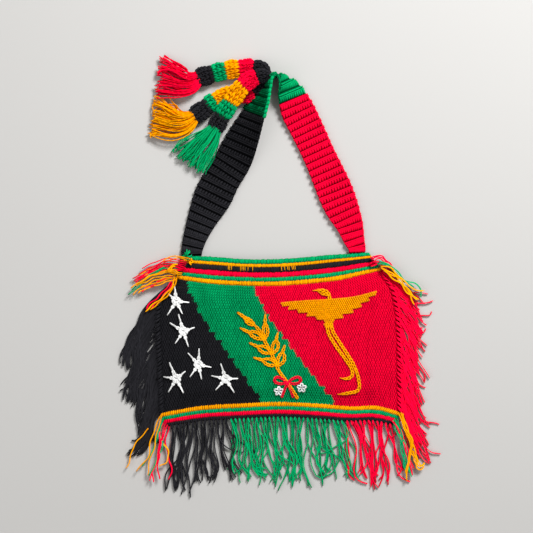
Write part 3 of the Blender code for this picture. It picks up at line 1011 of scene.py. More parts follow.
def cloth_object(
    name: str, outer: Surface, inner: Surface, cells: tuple[int, int], tones: Tones
) -> Piece:
    """A closed backing sheet between two faces.

    Args:
        name: The object's name.
        outer: The face that carries the stitches.
        inner: The face behind it, with the same shares.
        cells: Divisions across and along.
        tones: Gives a colour for shares across and along.

    Returns:
        The sheet.
    """
    form = bmesh.new()
    bmesh.ops.create_grid(form, x_segments=cells[0], y_segments=cells[1], size=0.5)
    grown = bmesh.ops.extrude_face_region(form, geom=form.faces[:], use_keep_orig=True)
    for item in grown["geom"]:
        if isinstance(item, bmesh.types.BMVert):
            item.co.z = 1.0
    flat = np.array([vert.co for vert in form.verts])
    u, v = (flat[:, :2] + 0.5).T
    places = np.where(flat[:, 2:] > 0.5, outer.point(u, v), inner.point(u, v))
    for vert, place in zip(form.verts, places, strict=True):
        vert.co = place
    return soft_object(name, form, tones(u, v))


def shaded_backing_colour(yarn: Yarn, dim: float = 0.16) -> Array:
    """The backing's colour behind a yarn, darkened towards the yarn's shadow colour as painted shade, as
    red, green, blue and alpha.
    """
    finish = FINISHES[yarn]
    tone = blend(np.array(finish.shadow), np.array(finish.colour), dim)
    return np.append(tone, 1.0)


def plain(yarn: Yarn) -> Tones:
    """A colour function for cloth of one yarn: its backing colour, darkened as painted shade."""
    return lambda u, v: np.tile(shaded_backing_colour(yarn), (len(u), 1))


def settle(piece: Piece, slot: str, *nodes: str) -> None:
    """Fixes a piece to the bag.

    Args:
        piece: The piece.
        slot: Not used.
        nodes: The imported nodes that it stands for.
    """
    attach(piece, "root")
    if nodes:
        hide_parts(*nodes)
    LOG.info("%s: %d faces", piece.name, len(piece.data.polygons))


@dataclass(frozen=True)
class FieldSteps:
    """The slanting, stepped edges between the black, green and red fields."""

    edges: Table = Table(
        "share green red",
        (
            (0.0, -0.1137, -0.0273), (0.25, -0.0949, -0.0091), (0.5, -0.0696, 0.0169),
            (0.75, -0.0449, 0.0436), (1.0, -0.0208, 0.074),
        ),
    )
    steps: int = 13
    lean: float = 0.4  # how much of the slant is within the steps

    def yarn_index(self, x: Array, from_top: Array) -> Array:
        """Which field a place is in.

        Args:
            x: Distances to the right.
            from_top: Shares of the panel's height, down from its top.

        Returns:
            0 in the black field, 1 in the green one and 2 in the red one.
        """
        step = np.clip(np.floor(from_top * self.steps), 0, self.steps - 1)
        step = (step + self.lean * (from_top * self.steps - step - 0.5)) / (self.steps - 1)
        green = x > self.edges.read("green", step)
        red = x > self.edges.read("red", step)
        return green.astype(int) + red.astype(int)


FIELDS = (K, G, R)


@dataclass
class FrontPanel:
    """The front panel: one backing sheet in three colours, and the stitches of each colour."""

    steps: FieldSteps = FieldSteps()
    rows: int = 46
    stitch_width: float = 0.0033
    seam: float = 1.5  # columns left bare along the right edge, where the fringe is knotted in
    seed: int = 11

    def colour(self, u: Array, v: Array) -> Array:
        """The backing's colours at shares of the panel, darkened as painted shade between the stitches.
        """
        tones = np.array([shaded_backing_colour(yarn) for yarn in FIELDS])
        return tones[self.steps.yarn_index(BODY.plan(Zone.PANEL, u, v)[:, 0], 1 - v)]

    def build(self) -> None:
        """Makes the backing, and a piece of stitches for each field."""
        outer, inner = BodyFace(Zone.PANEL, True, BACKING), BodyFace(Zone.PANEL, True)
        divisions = (COLUMNS, self.rows * 2)
        backing = cloth_object("front_panel_cloth", outer, inner, divisions, self.colour)
        settle(backing, "panel_crochet", "front_panel")
        cells = worked_rows(COLUMNS, self.rows, self.seed)
        cells = cells[cells[:, 0] < 1 - self.seam / COLUMNS]
        u, v = cells[:, :2].mean(axis=1), cells[:, 2:].mean(axis=1)
        which = self.steps.yarn_index(BODY.plan(Zone.PANEL, u, v)[:, 0], 1 - v)
        for index, yarn in enumerate(FIELDS):
            sides = 4 if yarn is K else 5
            worker = Stitches(outer, self.seed + index, 0.03, 0.015, 0.06, sides)
            tubes = worker.work(cells[which == index], yarn, V_LEG.pair(), self.stitch_width)
            settle(yarn_mesh(f"front_stitches_{yarn.name.lower()}", tubes), yarn.value)


@dataclass
class BackPanel:
    """The plain black back panel, which the bag lies on."""

    rows: int = 39
    columns: int = 92
    stitch_width: float = 0.004
    proud: float = 0.0004
    seed: int = 21

    def build(self) -> None:
        """Makes the backing and its stitches."""
        outer = BodyFace(Zone.PANEL, False, LAYER - BACKING)
        inner = BodyFace(Zone.PANEL, False, LAYER)
        backing = cloth_object("back_panel_cloth", outer, inner, (60, 36), plain(K))
        settle(backing, K.value, "back_panel")
        cells = worked_rows(self.columns, self.rows, self.seed)
        worker = Stitches(outer, self.seed, 0.05, 0.05, 0.08, 4)
        tubes = worker.work(cells, K, (LOW,), self.stitch_width, self.proud)
        settle(yarn_mesh("back_stitches", tubes), K.value)


# Each stripe's yarn, and its size beside the others'.
Stripes = Sequence[tuple[Yarn, float]]
MOUTH_STRIPES = ((Y, 4.5), (G, 4.2), (R, 5.2), (K, 5.6), (Y, 3.2), (G, 4.8))
BORDER_STRIPES = ((K, 3.5), (R, 4.2), (G, 3.9), (Y, 4.5))


@dataclass
class StripedBand:
    """A band of crocheted stripes along an edge of the body, on one of its faces."""

    name: str
    zone: Zone
    front: bool
    stripes: Stripes
    outer: float
    seed: int
    drops: Sequence[Pair] = ()  # shares of the width that yellow stitches hang over
    stitch_width: float = 0.002
    proud: float = 0.0007

    def edges(self) -> Array:
        """The shares of the band's height where its stripes meet, and its ends."""
        heights = [height for _, height in self.stripes]
        return np.concatenate([[0.0], np.cumsum(heights) / sum(heights)])

    def stitches(self) -> Piece:
        """The band's slanted stitches, one row to a stripe."""
        face = BodyFace(self.zone, self.front, self.outer)
        bundles = []
        edges = self.edges()
        for number, (yarn, _) in enumerate(self.stripes):
            cells = grid_cells(BAND_COLUMNS, edges[number], edges[number + 1])
            worker = Stitches(face, self.seed + number, 0.05, 0.05, 0.08)
            bundles += worker.work(cells, yarn, (TOOTH,), self.stitch_width, self.proud)
            if yarn is K:
                hung = self.dropped(cells)
                bundles += worker.work(hung, Y, (DROP,), self.stitch_width, 2 * self.proud)
        return yarn_mesh(self.name, bundles)

    def dropped(self, cells: Array) -> Array:
        """The cells of a stripe that yellow stitches from the next stripe hang over."""
        draw = default_rng(self.seed)
        kept = np.zeros(len(cells), bool)
        for low, high in self.drops:
            kept |= (cells[:, 0] > low) & (cells[:, 0] < high)
        return cells[kept & (draw.uniform(0, 1, len(cells)) < 0.5)]

    def colour(self, _u: Array, v: Array) -> Array:
        """The backing's colours: each stripe's colour, darkened as painted shade between the stitches."""
        tones = np.array([shaded_backing_colour(yarn, 0.3) for yarn, _ in self.stripes])
        return tones[np.searchsorted(self.edges()[1:-1], v)]


@dataclass
class Bands:
    """The striped bands: round the mouth, front and back, and along the foot."""

    slot: str = "striped_band"
    cells: tuple[int, int] = (110, 24)
    border_cells: tuple[int, int] = (110, 16)
    border_depth: float = 0.0017  # from the border's faces in to its backing

    def mouth(self, front: bool) -> None:
        """Makes one half of the mouth band.

        Args:
            front: Whether it is the front half.
        """
        side = "front" if front else "back"
        outer, inner = (BACKING, 0.0) if front else (LAYER - BACKING, LAYER)
        drops = ((0.22, 0.38), (0.45, 0.47), (0.52, 0.61)) if front else ()
        name = f"mouth_band_{side}"
        band = StripedBand(f"{name}_stitches", Zone.MOUTH, front, MOUTH_STRIPES, outer, 31, drops)
        faces = (BodyFace(Zone.MOUTH, front, height) for height in (outer, inner))
        settle(cloth_object(f"{name}_cloth", *faces, self.cells, band.colour), self.slot, name)
        settle(band.stitches(), self.slot)

    def border(self) -> None:
        """Makes the border that closes the foot, worked alike on both faces."""
        depth = self.border_depth
        top = BORDER_TOP - LAYER - SEAT - depth
        bands = [
            StripedBand(f"foot_border_{side}_stitches", Zone.BORDER, front, BORDER_STRIPES, outer, 41)
            for side, front, outer in (("front", True, top), ("back", False, depth))
        ]
        faces = (BodyFace(Zone.BORDER, True, height) for height in (top, depth - LAYER - SEAT))
        backing = cloth_object("foot_border_cloth", *faces, self.border_cells, bands[0].colour)
        settle(backing, self.slot, "foot_border")
        for band in bands:
            settle(band.stitches(), self.slot)

    def build(self) -> None:
        """Makes all the bands."""
        self.mouth(front=True)
        self.mouth(front=False)
        self.border()


def spaced(low: float, high: float, count: int, parts: Sequence[float]) -> tuple[Array, Array]:
    """Places for a row of edge stitches.

    Args:
        low: The share where the first one starts.
        high: The share where the last one ends.
        count: How many there are.
        parts: Where a stitch's points lie along it.

    Returns:
        The share where each stitch starts, and its points' shares.
    """
    start = np.linspace(low, high, count + 1)[:-1]
    return start, start[:, None] + np.array(parts)[None] * (start[1] - start[0])


@dataclass
class Strap:
    """One length of the ribbed strap: a core with stitches on both faces and a rim on each edge."""

    name: str
    yarn: Yarn
    rows: Table
    ribs: int
    seed: int
    swell: float = 0.0027
    # painted shade: a tint added to the stitches at the strap's start and at its end
    shade: Pair = (-1.0, -1.0)
    frill: int = 0  # puckered stitches along the first half of the inner edge
    columns: int = 12
    stitch_width: float = 0.0033
    proud: float = 0.0006
    rim_span: Pair = (0.004, 0.996)
    rim_radius: float = 0.00125
    rim_rise: float = 0.0022
    frill_span: Pair = (-0.01, 0.54)
    frill_radius: float = 0.0021
    frill_rise: float = 0.0014

    def row(self, low: float, high: float) -> Array:
        """The cells of one row of every rib, from and to shares of a rib."""
        spans = [((rib + low) / self.ribs, (rib + high) / self.ribs) for rib in range(self.ribs)]
        return np.concatenate([grid_cells(self.columns, *span) for span in spans])

    def rim(self) -> list[Tubes]:
        """The row of edge stitches on each long edge."""
        count = self.ribs * 2
        made = []
        draw = default_rng(self.seed + 7)
        for share in (0.0, 1.0):
            start, along = spaced(*self.rim_span, count, (-0.1, 0.3, 0.7, 1.1))
            across = np.broadcast_to(share + (0.5 - share) * 0.03, along.shape)
            rise = self.rim_rise * every((-0.35, 0.35, 0.35, -0.35), along.shape)
            places, normals = StrapFace(self.rows, 0.0).place(across, along, rise)
            radius = self.rim_radius * every((0.8, 1.0, 1.0, 0.8), along.shape)
            # random tint, plus the strap's painted shade
            tint = draw.normal(0, 0.4, count) + blend(*self.shade, eased(start))
            # painted shade at the ends of each edge stitch
            recess = every((0.4, 0.0, 0.0, 0.4), along.shape)
            made.append(Tubes(places, normals, radius, self.yarn, tint, recess, 1.0))
        return made

    def pucker(self) -> Tubes:
        """The lively row of loops along the inner edge, where it stands up at the pinch."""
        draw = default_rng(self.seed + 9)
        _, along = spaced(*self.frill_span, self.frill, (-0.05, 0.25, 0.7, 1.0))
        out = np.array([-0.075, 0.03, 0.05, -0.07])[None]
        across = 1.0 + out * draw.uniform(0.7, 1.3, (self.frill, 1))
        rise = np.array([-0.2, 1.0, 0.9, -0.3])[None] * self.frill_rise
        rise = rise * draw.uniform(0.4, 1.5, (self.frill, 1))
        places, normals = StrapFace(self.rows, 0.0).place(across, along, rise)
        radius = self.frill_radius * every((0.75, 1.05, 1.05, 0.75), along.shape)
        tint = draw.normal(-0.3, 0.5, self.frill)
        # painted shade at the ends of each loop
        recess = every((0.5, 0.0, 0.0, 0.5), along.shape)
        return Tubes(places, normals, radius, self.yarn, tint, recess, 1.0)

    def build(self) -> None:
        """Makes the core and the stitches."""
        top = StrapFace(self.rows, STRAP_CORE / 2, True, self.ribs, self.swell)
        under = StrapFace(self.rows, -STRAP_CORE / 2)
        divisions = (8, self.ribs * 8)
        core = cloth_object(f"{self.name}_cloth", top, under, divisions, plain(self.yarn))
        settle(core, self.yarn.value, self.name)
        bundles = self.rim() + ([self.pucker()] if self.frill else [])
        rows = ((0.1, 0.32, BAR), (0.3, 0.52, BAR), (0.47, 0.96, SLASH))
        for number, (low, high, leg) in enumerate(rows):
            worker = Stitches(top, self.seed + number, 0.04, 0.03, 0.06, shade=self.shade)
            cells = self.row(low, high)
            bundles += worker.work(cells, self.yarn, (leg,), self.stitch_width, self.proud)
        worker = Stitches(StrapFace(self.rows, STRAP_CORE / 2, False), self.seed, sides=4)
        for low in (0.0, 0.5):
            cells = self.row(low, low + 0.5)
            bundles += worker.work(cells, self.yarn, (LOW,), self.stitch_width, self.proud / 2)
        settle(yarn_mesh(f"{self.name}_stitches", bundles), self.yarn.value)


def strap_line(*rows: tuple[float, ...]) -> Table:
    """A strap's centre line, its width and its roll in degrees."""
    return Table("x y width roll", rows).evenly()


def rope(*rows: tuple[float, ...]) -> Table:
    """A tube's centre line, half its width and half its height."""
    return Table("x y z wide high", rows)


def lay(*rows: tuple[float, ...]) -> Table:
    """How a fringe leaves its edge and arrives, in degrees, and its length."""
    return Table("share leave arrive length", rows)


LEFT_LENGTH = strap_line(
    (-0.1092, 0.0256, 0.025, 0), (-0.109, 0.033, 0.0262, 0), (-0.1047, 0.0494, 0.0295, 0),
    (-0.0962, 0.0715, 0.037, 0), (-0.0871, 0.091, 0.045, 0), (-0.0806, 0.104, 0.0485, 0),
    (-0.0702, 0.1248, 0.047, 0), (-0.0549, 0.1495, 0.0465, 4), (-0.0442, 0.1729, 0.045, 20),
    (-0.0358, 0.1911, 0.043, 34), (-0.028, 0.208, 0.04, 45),
)
TOP_LENGTH = strap_line(
    (-0.028, 0.208, 0.04, 45), (-0.0195, 0.2262, 0.037, 56), (-0.0124, 0.2405, 0.033, 68),
    (-0.0075, 0.2516, 0.029, 80), (-0.0005, 0.258, 0.027, 86), (0.007, 0.2542, 0.029, 72),
    (0.0135, 0.2457, 0.032, 46), (0.018, 0.2366, 0.035, 20), (0.0215, 0.2282, 0.037, 8),
)
RIGHT_LENGTH = strap_line(
    (0.0215, 0.2282, 0.038, 8), (0.0286, 0.2119, 0.043, 2), (0.0403, 0.1885, 0.042, 0),
    (0.0567, 0.1534, 0.041, 0), (0.0724, 0.1183, 0.0445, 0), (0.0793, 0.1014, 0.045, 0),
    (0.0871, 0.0832, 0.0415, 0), (0.0949, 0.0663, 0.0345, 0), (0.1005, 0.0481, 0.027, 0),
    (0.1045, 0.0365, 0.0215, 0), (0.1053, 0.0287, 0.02, 0),
)
# strap_top is darker at its start and strap_left towards its top, both as painted shade; strap_right is a
# little darker all along
STRAPS = (
    Strap("strap_left", K, LEFT_LENGTH, 19, 51, swell=0.0016, shade=(0, -4)),
    Strap("strap_top", G, TOP_LENGTH, 8, 61, shade=(-7.4, -0.5), frill=10),
    Strap("strap_right", R, RIGHT_LENGTH, 23, 71),
)


def tube_object(
    name: str, face: TubeFace, rings: int, sides: int, tones: Callable[[Array], Array]
) -> Piece:
    """A closed soft tube.

    Args:
        name: The object's name.
        face: The tube's outside.
        rings: How many rings it has.
        sides: How many sides it has.
        tones: Gives a colour for shares along it.

    Returns:
        The tube, with the backing's material.
    """
    form = rod(rings, sides)
    shares = np.array([vert.co.z + 0.5 for vert in form.verts])
    for vert in form.verts:
        turn = math.atan2(vert.co.y, vert.co.x) / math.tau
        vert.co = face.point(np.array(turn), np.array(vert.co.z + 0.5))
    return soft_object(name, form, tones(shares))


@dataclass
class Tie:
    """A crocheted tube with rings of colour, worked round in chunky stitches."""

    name: str
    route: Table
    rings: Stripes
    courses: int
    seed: int
    around: int = 13
    skin: float = 0.0026
    proud: float = 0.0012
    core_cells: tuple[int, int] = (50, 14)  # rings along the core, and its sides
    slot: str = "ringed_tie"
    node: str = ""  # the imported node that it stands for, where its name isn't the same

    def ring_at(self, share: Array) -> Array:
        """The number of the ring at shares of the tie's length."""
        ends = np.cumsum([part for _, part in self.rings])
        return np.searchsorted(ends[:-1] / ends[-1], share)

    def colour(self, share: Array) -> Array:
        """The core's colours at shares of the tie's length, darkened as painted shade between the
        stitches.
        """
        tones = np.array([shaded_backing_colour(yarn, 0.35) for yarn, _ in self.rings])
        return tones[self.ring_at(share)]

    def build(self) -> None:
        """Makes the soft core and the stitches round it."""
        ends = np.cumsum([0.0, *(part for _, part in self.rings)])
        face = TubeFace(self.route, self.skin, tuple(ends / ends[-1]))
        core = tube_object(f"{self.name}_core", face, *self.core_cells, self.colour)
        settle(core, self.slot, self.node or self.name)
        bundles = []
        for course in range(self.courses):
            low, high = course / self.courses, (course + 1) / self.courses
            middle = 0.5 * (low + high)
            cells = grid_cells(self.around, low, high)
            worker = Stitches(face, self.seed + course, 0.12, 0.1, 0.11, 6)
            yarn = self.rings[int(self.ring_at(np.array(middle)))][0]
            bundles += worker.work(cells, yarn, CHUNKY.pair(), self.width(middle), self.proud)
        settle(yarn_mesh(f"{self.name}_stitches", bundles), self.slot)

    def width(self, v: float) -> float:
        """The width of one stitch round the tube at a share of its length."""
        wide, high = float(self.route.read("wide", v)), float(self.route.read("high", v))
        return math.pi * (wide + high) / self.around


HUB_PRONGS = (
    rope(
        (-0.01, 0.256, 0.014, 0.007, 0.008), (-0.019, 0.2655, 0.0095, 0.0105, 0.009),
        (-0.029, 0.2678, 0.0085, 0.0115, 0.0082),
    ),
    rope(
        (-0.011, 0.255, 0.021, 0.007, 0.008), (-0.018, 0.255, 0.0255, 0.01, 0.008),
        (-0.025, 0.2536, 0.0265, 0.0105, 0.0075),
    ),
    rope(
        (-0.013, 0.254, 0.018, 0.007, 0.008), (-0.021, 0.245, 0.013, 0.0085, 0.0075),
        (-0.0285, 0.2362, 0.01, 0.0095, 0.007),
    ),
)
UPPER_TIE = rope(
    (-0.0293, 0.2678, 0.0085, 0.0118, 0.008), (-0.039, 0.2674, 0.0082, 0.0122, 0.008),
    (-0.0572, 0.2659, 0.008, 0.0123, 0.0078), (-0.0741, 0.2626, 0.008, 0.012, 0.0078),
    (-0.091, 0.2578, 0.008, 0.0124, 0.0078), (-0.1015, 0.2547, 0.008, 0.0122, 0.0076),
)
FRONT_TIE = rope(
    (-0.0253, 0.2535, 0.0265, 0.0105, 0.0075), (-0.0364, 0.2478, 0.0265, 0.0118, 0.0074),
    (-0.0507, 0.2327, 0.0245, 0.0118, 0.0074), (-0.0625, 0.215, 0.0185, 0.0115, 0.0072),
    (-0.0735, 0.1982, 0.011, 0.0115, 0.0072), (-0.0792, 0.189, 0.008, 0.0115, 0.0072),
)
BEHIND_TIE = rope(
    (-0.0288, 0.2359, 0.0099, 0.0095, 0.0068), (-0.04, 0.233, 0.008, 0.011, 0.0068),
    (-0.0572, 0.2334, 0.0075, 0.0115, 0.007), (-0.0728, 0.2288, 0.0075, 0.0115, 0.007),
    (-0.0845, 0.2217, 0.0075, 0.0118, 0.007), (-0.0975, 0.2119, 0.0075, 0.012, 0.0072),
    (-0.1068, 0.2042, 0.0078, 0.012, 0.0072),
)
TIES = (
    Tie("tie_red", UPPER_TIE, ((R, 0.31), (Y, 0.19), (G, 0.19), (K, 0.31)), 16, 81),
    Tie("tie_green", FRONT_TIE, ((R, 0.29), (Y, 0.24), (G, 0.2), (K, 0.27)), 17, 83),
    Tie("tie_yellow", BEHIND_TIE, ((R, 0.24), (Y, 0.33), (G, 0.16), (K, 0.27)), 17, 85),
)


@dataclass
class Hub:
    """The black knot of crochet that gathers the ties."""

    prongs: Sequence[Table] = HUB_PRONGS
    courses: int = 5
    around: int = 12
    seed: int = 91

    def build(self) -> None:
        """Makes a core and a skin of stitches for each prong."""
        for number, prong in enumerate(self.prongs):
            name, rings = f"tie_hub_{number}", ((K, 1.0),)
            Tie(name, prong, rings, self.courses, self.seed, self.around, node="tie_hub").build()


def level_tubes(paths: Array, radius: Array, yarn: Yarn, tint: Array, recess: Array) -> Tubes:
    """Round tubes whose sides are level."""
    return Tubes(paths, np.broadcast_to(UP, paths.shape), radius, yarn, tint, recess, 1.0, 6)


def strands(
    paths: Array,
    yarn: Yarn,
    draw: Generator,
    radius: float = YARN_RADIUS,
    deep: Array | float = 0.0,
) -> Tubes:
    """Loose strands of yarn along paths.

    Args:
        paths: One path a row, each with the same number of points.
        yarn: The yarn.
        draw: The piece's random draws.
        radius: The strands' thickness, halved.
        deep: How much painted shade each strand gets from those over it.

    Returns:
        The strands as tubes, a little uneven and thinner at their tips.
    """
    count, rings = paths.shape[:2]
    thick = radius * draw.normal(1.0, 0.06, (count, 1)) * np.ones((1, rings))
    thick[:, -1] *= 0.85
    tint = draw.normal(0, 0.8, count)
    # painted shade at each strand's root, and on strands that lie under others
    recess = 0.5 * np.exp(-np.linspace(0, 6, rings)) + np.zeros((count, 1))
    recess = np.maximum(recess, deep * np.linspace(1.0, 0.6, rings))
    return level_tubes(paths, thick, yarn, tint, recess)


@dataclass
class Tassel:
    """A tassel: strands that leave the end of a tie and fan out as they lie."""

    name: str
    yarn: Yarn
    seed: int
    route: Table
    count: int = 72
    rings: int = 16

    def build(self) -> None:
        """Makes all the strands, as one piece."""
        draw = default_rng(self.seed)
        count = self.count
        spread = (np.arange(count) + draw.uniform(0, 1, count))[:, None] / count * 2 - 1
        layer = draw.permutation(count)[:, None] / (count - 1)
        t = np.linspace(0, 1, self.rings)[None]
        reach = t * draw.uniform(0.76, 1.03, (count, 1))
        fine = np.linspace(0, 1.04, 80)
        width = np.maximum.accumulate(self.route.read("wide", fine))
        centre, side, rise = TubeFace(self.route).frames(reach)
        wide = np.interp(reach, fine, width) - YARN_RADIUS
        high = self.route.read("high", reach) - YARN_RADIUS
        pace, phase = draw.uniform(3, 8, (count, 1)), draw.uniform(0, 6, (count, 1))
        sway = draw.normal(0, 0.16, (count, 1)) * t * np.sin(reach * pace + phase)
        lean = draw.normal(0, 0.16, (count, 1)) * t
        across = spread * (0.75 + 0.25 * t) + sway + lean
        up = (1.5 * layer - 0.5) * np.sqrt(1 - 0.85 * spread**2)
        paths = centre + side * (wide * across)[..., None] + rise * (high * up)[..., None]
        paths[..., 2] = np.maximum(paths[..., 2], YARN_RADIUS + CLEAR)
        # lower strands get painted shade from those over them
        tubes = strands(paths, self.yarn, draw, deep=0.95 * (1 - layer))
        settle(yarn_mesh(f"{self.name}_strands", [tubes]), self.yarn.value, self.name)


TASSELS = (
    Tassel("tassel_red", R, 101, rope(
        (-0.1, 0.2548, 0.0082, 0.012, 0.0072), (-0.111, 0.249, 0.0092, 0.0205, 0.0086),
        (-0.124, 0.2495, 0.0092, 0.024, 0.0088), (-0.137, 0.2535, 0.008, 0.0252, 0.0078),
        (-0.147, 0.2565, 0.0062, 0.025, 0.006), (-0.154, 0.2575, 0.0046, 0.025, 0.0042),
    )),
    Tassel("tassel_yellow", Y, 103, rope(
        (-0.1055, 0.2046, 0.008, 0.0122, 0.007), (-0.118, 0.1975, 0.0088, 0.021, 0.0082),
        (-0.131, 0.1965, 0.0084, 0.0262, 0.0078), (-0.144, 0.2005, 0.0068, 0.0272, 0.0064),
        (-0.155, 0.205, 0.0052, 0.0272, 0.0048), (-0.162, 0.206, 0.004, 0.0272, 0.0036),
    )),
    Tassel("tassel_green", G, 105, rope(
        (-0.078, 0.19, 0.0084, 0.0115, 0.007), (-0.0865, 0.177, 0.0095, 0.019, 0.0084),
        (-0.095, 0.167, 0.0095, 0.0228, 0.0086), (-0.1035, 0.157, 0.0084, 0.0245, 0.0078),
        (-0.111, 0.149, 0.0066, 0.025, 0.006), (-0.1155, 0.143, 0.005, 0.025, 0.0044),
    )),
)


@dataclass
class Fringe:
    """Strands knotted into an edge of the body, which fall across the ground in wavy locks."""

    name: str
    yarn: Yarn
    zone: Zone
    start: Pair  # shares of the zone's width and height
    end: Pair
    count: int
    knots: int
    seed: int
    lay: Table
    lock: int = 5  # strands that keep together
    gather: float = 0.55  # how far they close up
    turns: Pair = (7.0, 5.0)  # how far a lock and a strand turn away, in degrees
    sway: Pair = (14.0, 9.0)  # how much a lock and a strand wind, in degrees
    stray: float = 0.04
    radius: float = 0.00124
    depth: float = 0.0054
    hook: float = 0.0  # the share of the panel's width that the knots reach in over it
    slant: float = 0.014  # how far down the edge they slant, as a share of it
    rings: int = 16

    def headings(self, share: Array, lock: Array, draw: Generator) -> Array:
        """Each strand's direction along its length.

        Args:
            share: Each strand's share of the edge.
            lock: Each strand's lock.
            draw: The piece's random draws.

        Returns:
            Directions in radians, a row for each strand.
        """
        count = len(share)
        t = np.linspace(0, 1, self.rings)[None]
        of_lock = draw.normal(0, 1, (lock.max() + 1, 3))[lock]
        leave = self.lay.read("leave", share)[:, None]
        arrive = self.lay.read("arrive", share)[:, None]
        turn = blend(leave, arrive, t**0.8) + of_lock[:, :1] * self.turns[0] * t
        turn = turn + draw.normal(0, self.turns[1], (count, 1)) * (1 - 0.4 * t)
        pace = 1.3 + 0.25 * of_lock[:, 1:2]
        turn = turn + self.sway[0] * np.sqrt(t) * np.sin(math.tau * pace * t + 2 * of_lock[:, 2:3])
        pace, phase = draw.uniform(0.6, 1.7, (count, 1)), draw.uniform(0, 6, (count, 1))
        turn = turn + self.sway[1] * t * np.sin(math.tau * pace * t + phase)
        astray = (draw.uniform(0, 1, (count, 1)) < self.stray) * draw.normal(0, 55, (count, 1))
        hooked = (draw.uniform(0, 1, (count, 1)) < 0.4) * draw.normal(0, 45, (count, 1))
        return np.radians(turn + astray * eased(t * 1.2) + hooked * eased((t - 0.78) / 0.22))

    def build(self) -> None:
        """Makes the strands and their knots, as one piece."""
        draw = default_rng(self.seed)
        count = self.count
        knot = np.arange(count) * self.knots // count
        share = (knot + 0.5 + draw.normal(0, 0.12, count)) / self.knots
        lock = np.arange(count) // self.lock
        root = self.along(share)
        head = self.headings(share, lock, draw)
        length = self.lay.read("length", share) * (1 + 0.06 * draw.normal(0, 1, lock.max() + 1)[lock])
        step = (length * draw.normal(1, 0.06, count) / (self.rings - 1))[:, None, None]
        walk = np.cumsum(aim(head) * step, axis=1)
        plan = root[:, None] + walk - walk[:, :1]
        t = np.linspace(0, 1, self.rings)
        middle = np.stack([plan[lock == n].mean(axis=0) for n in range(lock.max() + 1)])[lock]
        plan = plan + (middle - plan) * (self.gather * t**1.2)[None, :, None]
        layer = draw.uniform(0, 1, (count, 1))
        top = self.radius + 0.0003 + layer * (self.depth - 2 * self.radius)
        level = top * (1 - 0.45 * t**2 * layer) + 0.0008 * eased(1 - t * 6)
        level = level + 0.0004 * np.sin(t * draw.uniform(8, 14, (count, 1)) + 9 * layer)
        level = np.maximum(level, self.radius + CLEAR)
        paths = np.concatenate([plan, level[..., None]], axis=-1)
        # lower strands get painted shade from those over them
        tubes = [strands(paths, self.yarn, draw, self.radius, 0.6 * (1 - layer) ** 1.5)]
        tubes.append(self.hooked(draw) if self.hook else self.tied(draw))
        settle(yarn_mesh(f"{self.name}_strands", tubes), self.yarn.value, self.name)

    def along(self, share: Array) -> Array:
        """Places in plan at shares of the fringed edge."""
        u = blend(self.start[0], self.end[0], share)
        return BODY.plan(self.zone, u, blend(self.start[1], self.end[1], share))

    def hooked(self, draw: Generator) -> Tubes:
        """The two strands of each knot, from a hole in the panel out over its edge.

        Args:
            draw: The piece's random draws.

        Returns:
            The tubes.
        """
        face = BodyFace(self.zone, True, LAYER)
        share = np.repeat((np.arange(self.knots) + 0.5) / self.knots, 2)
        hand = np.tile([-1.0, 1.0], self.knots)[:, None]
        u = blend(self.start[0], self.end[0], share)[:, None] + self.hook * np.array([1.0, 0.6, 0.15])
        v = blend(self.start[1], self.end[1], share)[:, None] + 0 * u
        v = v + hand * np.array([0.001, 0.0045, 0.0055]) + draw.normal(0, 0.003, (len(share), 1))
        v = np.maximum(v - self.slant * np.array([-0.4, 0.3, 1.0]), 0.0)
        places, _ = face.place(u, v, every((-0.001, 0.0012, 0.001), u.shape))
        out = places[:, 2:, :2] - places[:, 1:2, :2]
        out = unit(out) * np.array([0.0022, 0.005])[None, :, None]
        down = every((0.005, 0.003), (len(share), 2))[..., None]
        ends = np.concatenate([places[:, 2:, :2] + out, down], axis=-1)
        places = np.concatenate([places, ends], axis=1)
        radius = np.full(places.shape[:2], self.radius * 1.08)
        # painted shade where the strands go into the panel and at their ends
        recess = every((0.8, 0.1, 0.0, 0.1, 0.5), places.shape[:2])
        return level_tubes(places, radius, self.yarn, draw.normal(0, 0.7, len(share)), recess)

    def tied(self, draw: Generator) -> Tubes:
        """The round knots that the strands hang from.

        Args:
            draw: The piece's random draws.

        Returns:
            The tubes.
        """
        share = (np.arange(self.knots) + 0.5) / self.knots
        turn = np.radians(self.lay.read("leave", share) + draw.normal(0, 8, self.knots))
        reach = draw.normal(1.0, 0.12, (self.knots, 1)) * np.array([-0.0012, 0.0008, 0.003, 0.0052])
        plan = self.along(share)[:, None] + aim(turn)[:, None] * reach[..., None]
        level = every((0.0046, 0.005, 0.0044, 0.0032), reach.shape)
        places = np.concatenate([plan, level[..., None]], axis=-1)
        radius = self.radius * every((0.9, 1.45, 1.35, 1.0), reach.shape)
        # painted shade where each knot meets the edge and at its end
        recess = every((0.7, 0.1, 0.0, 0.3), reach.shape)
        return level_tubes(places, radius, self.yarn, draw.normal(0, 0.5, self.knots), recess)


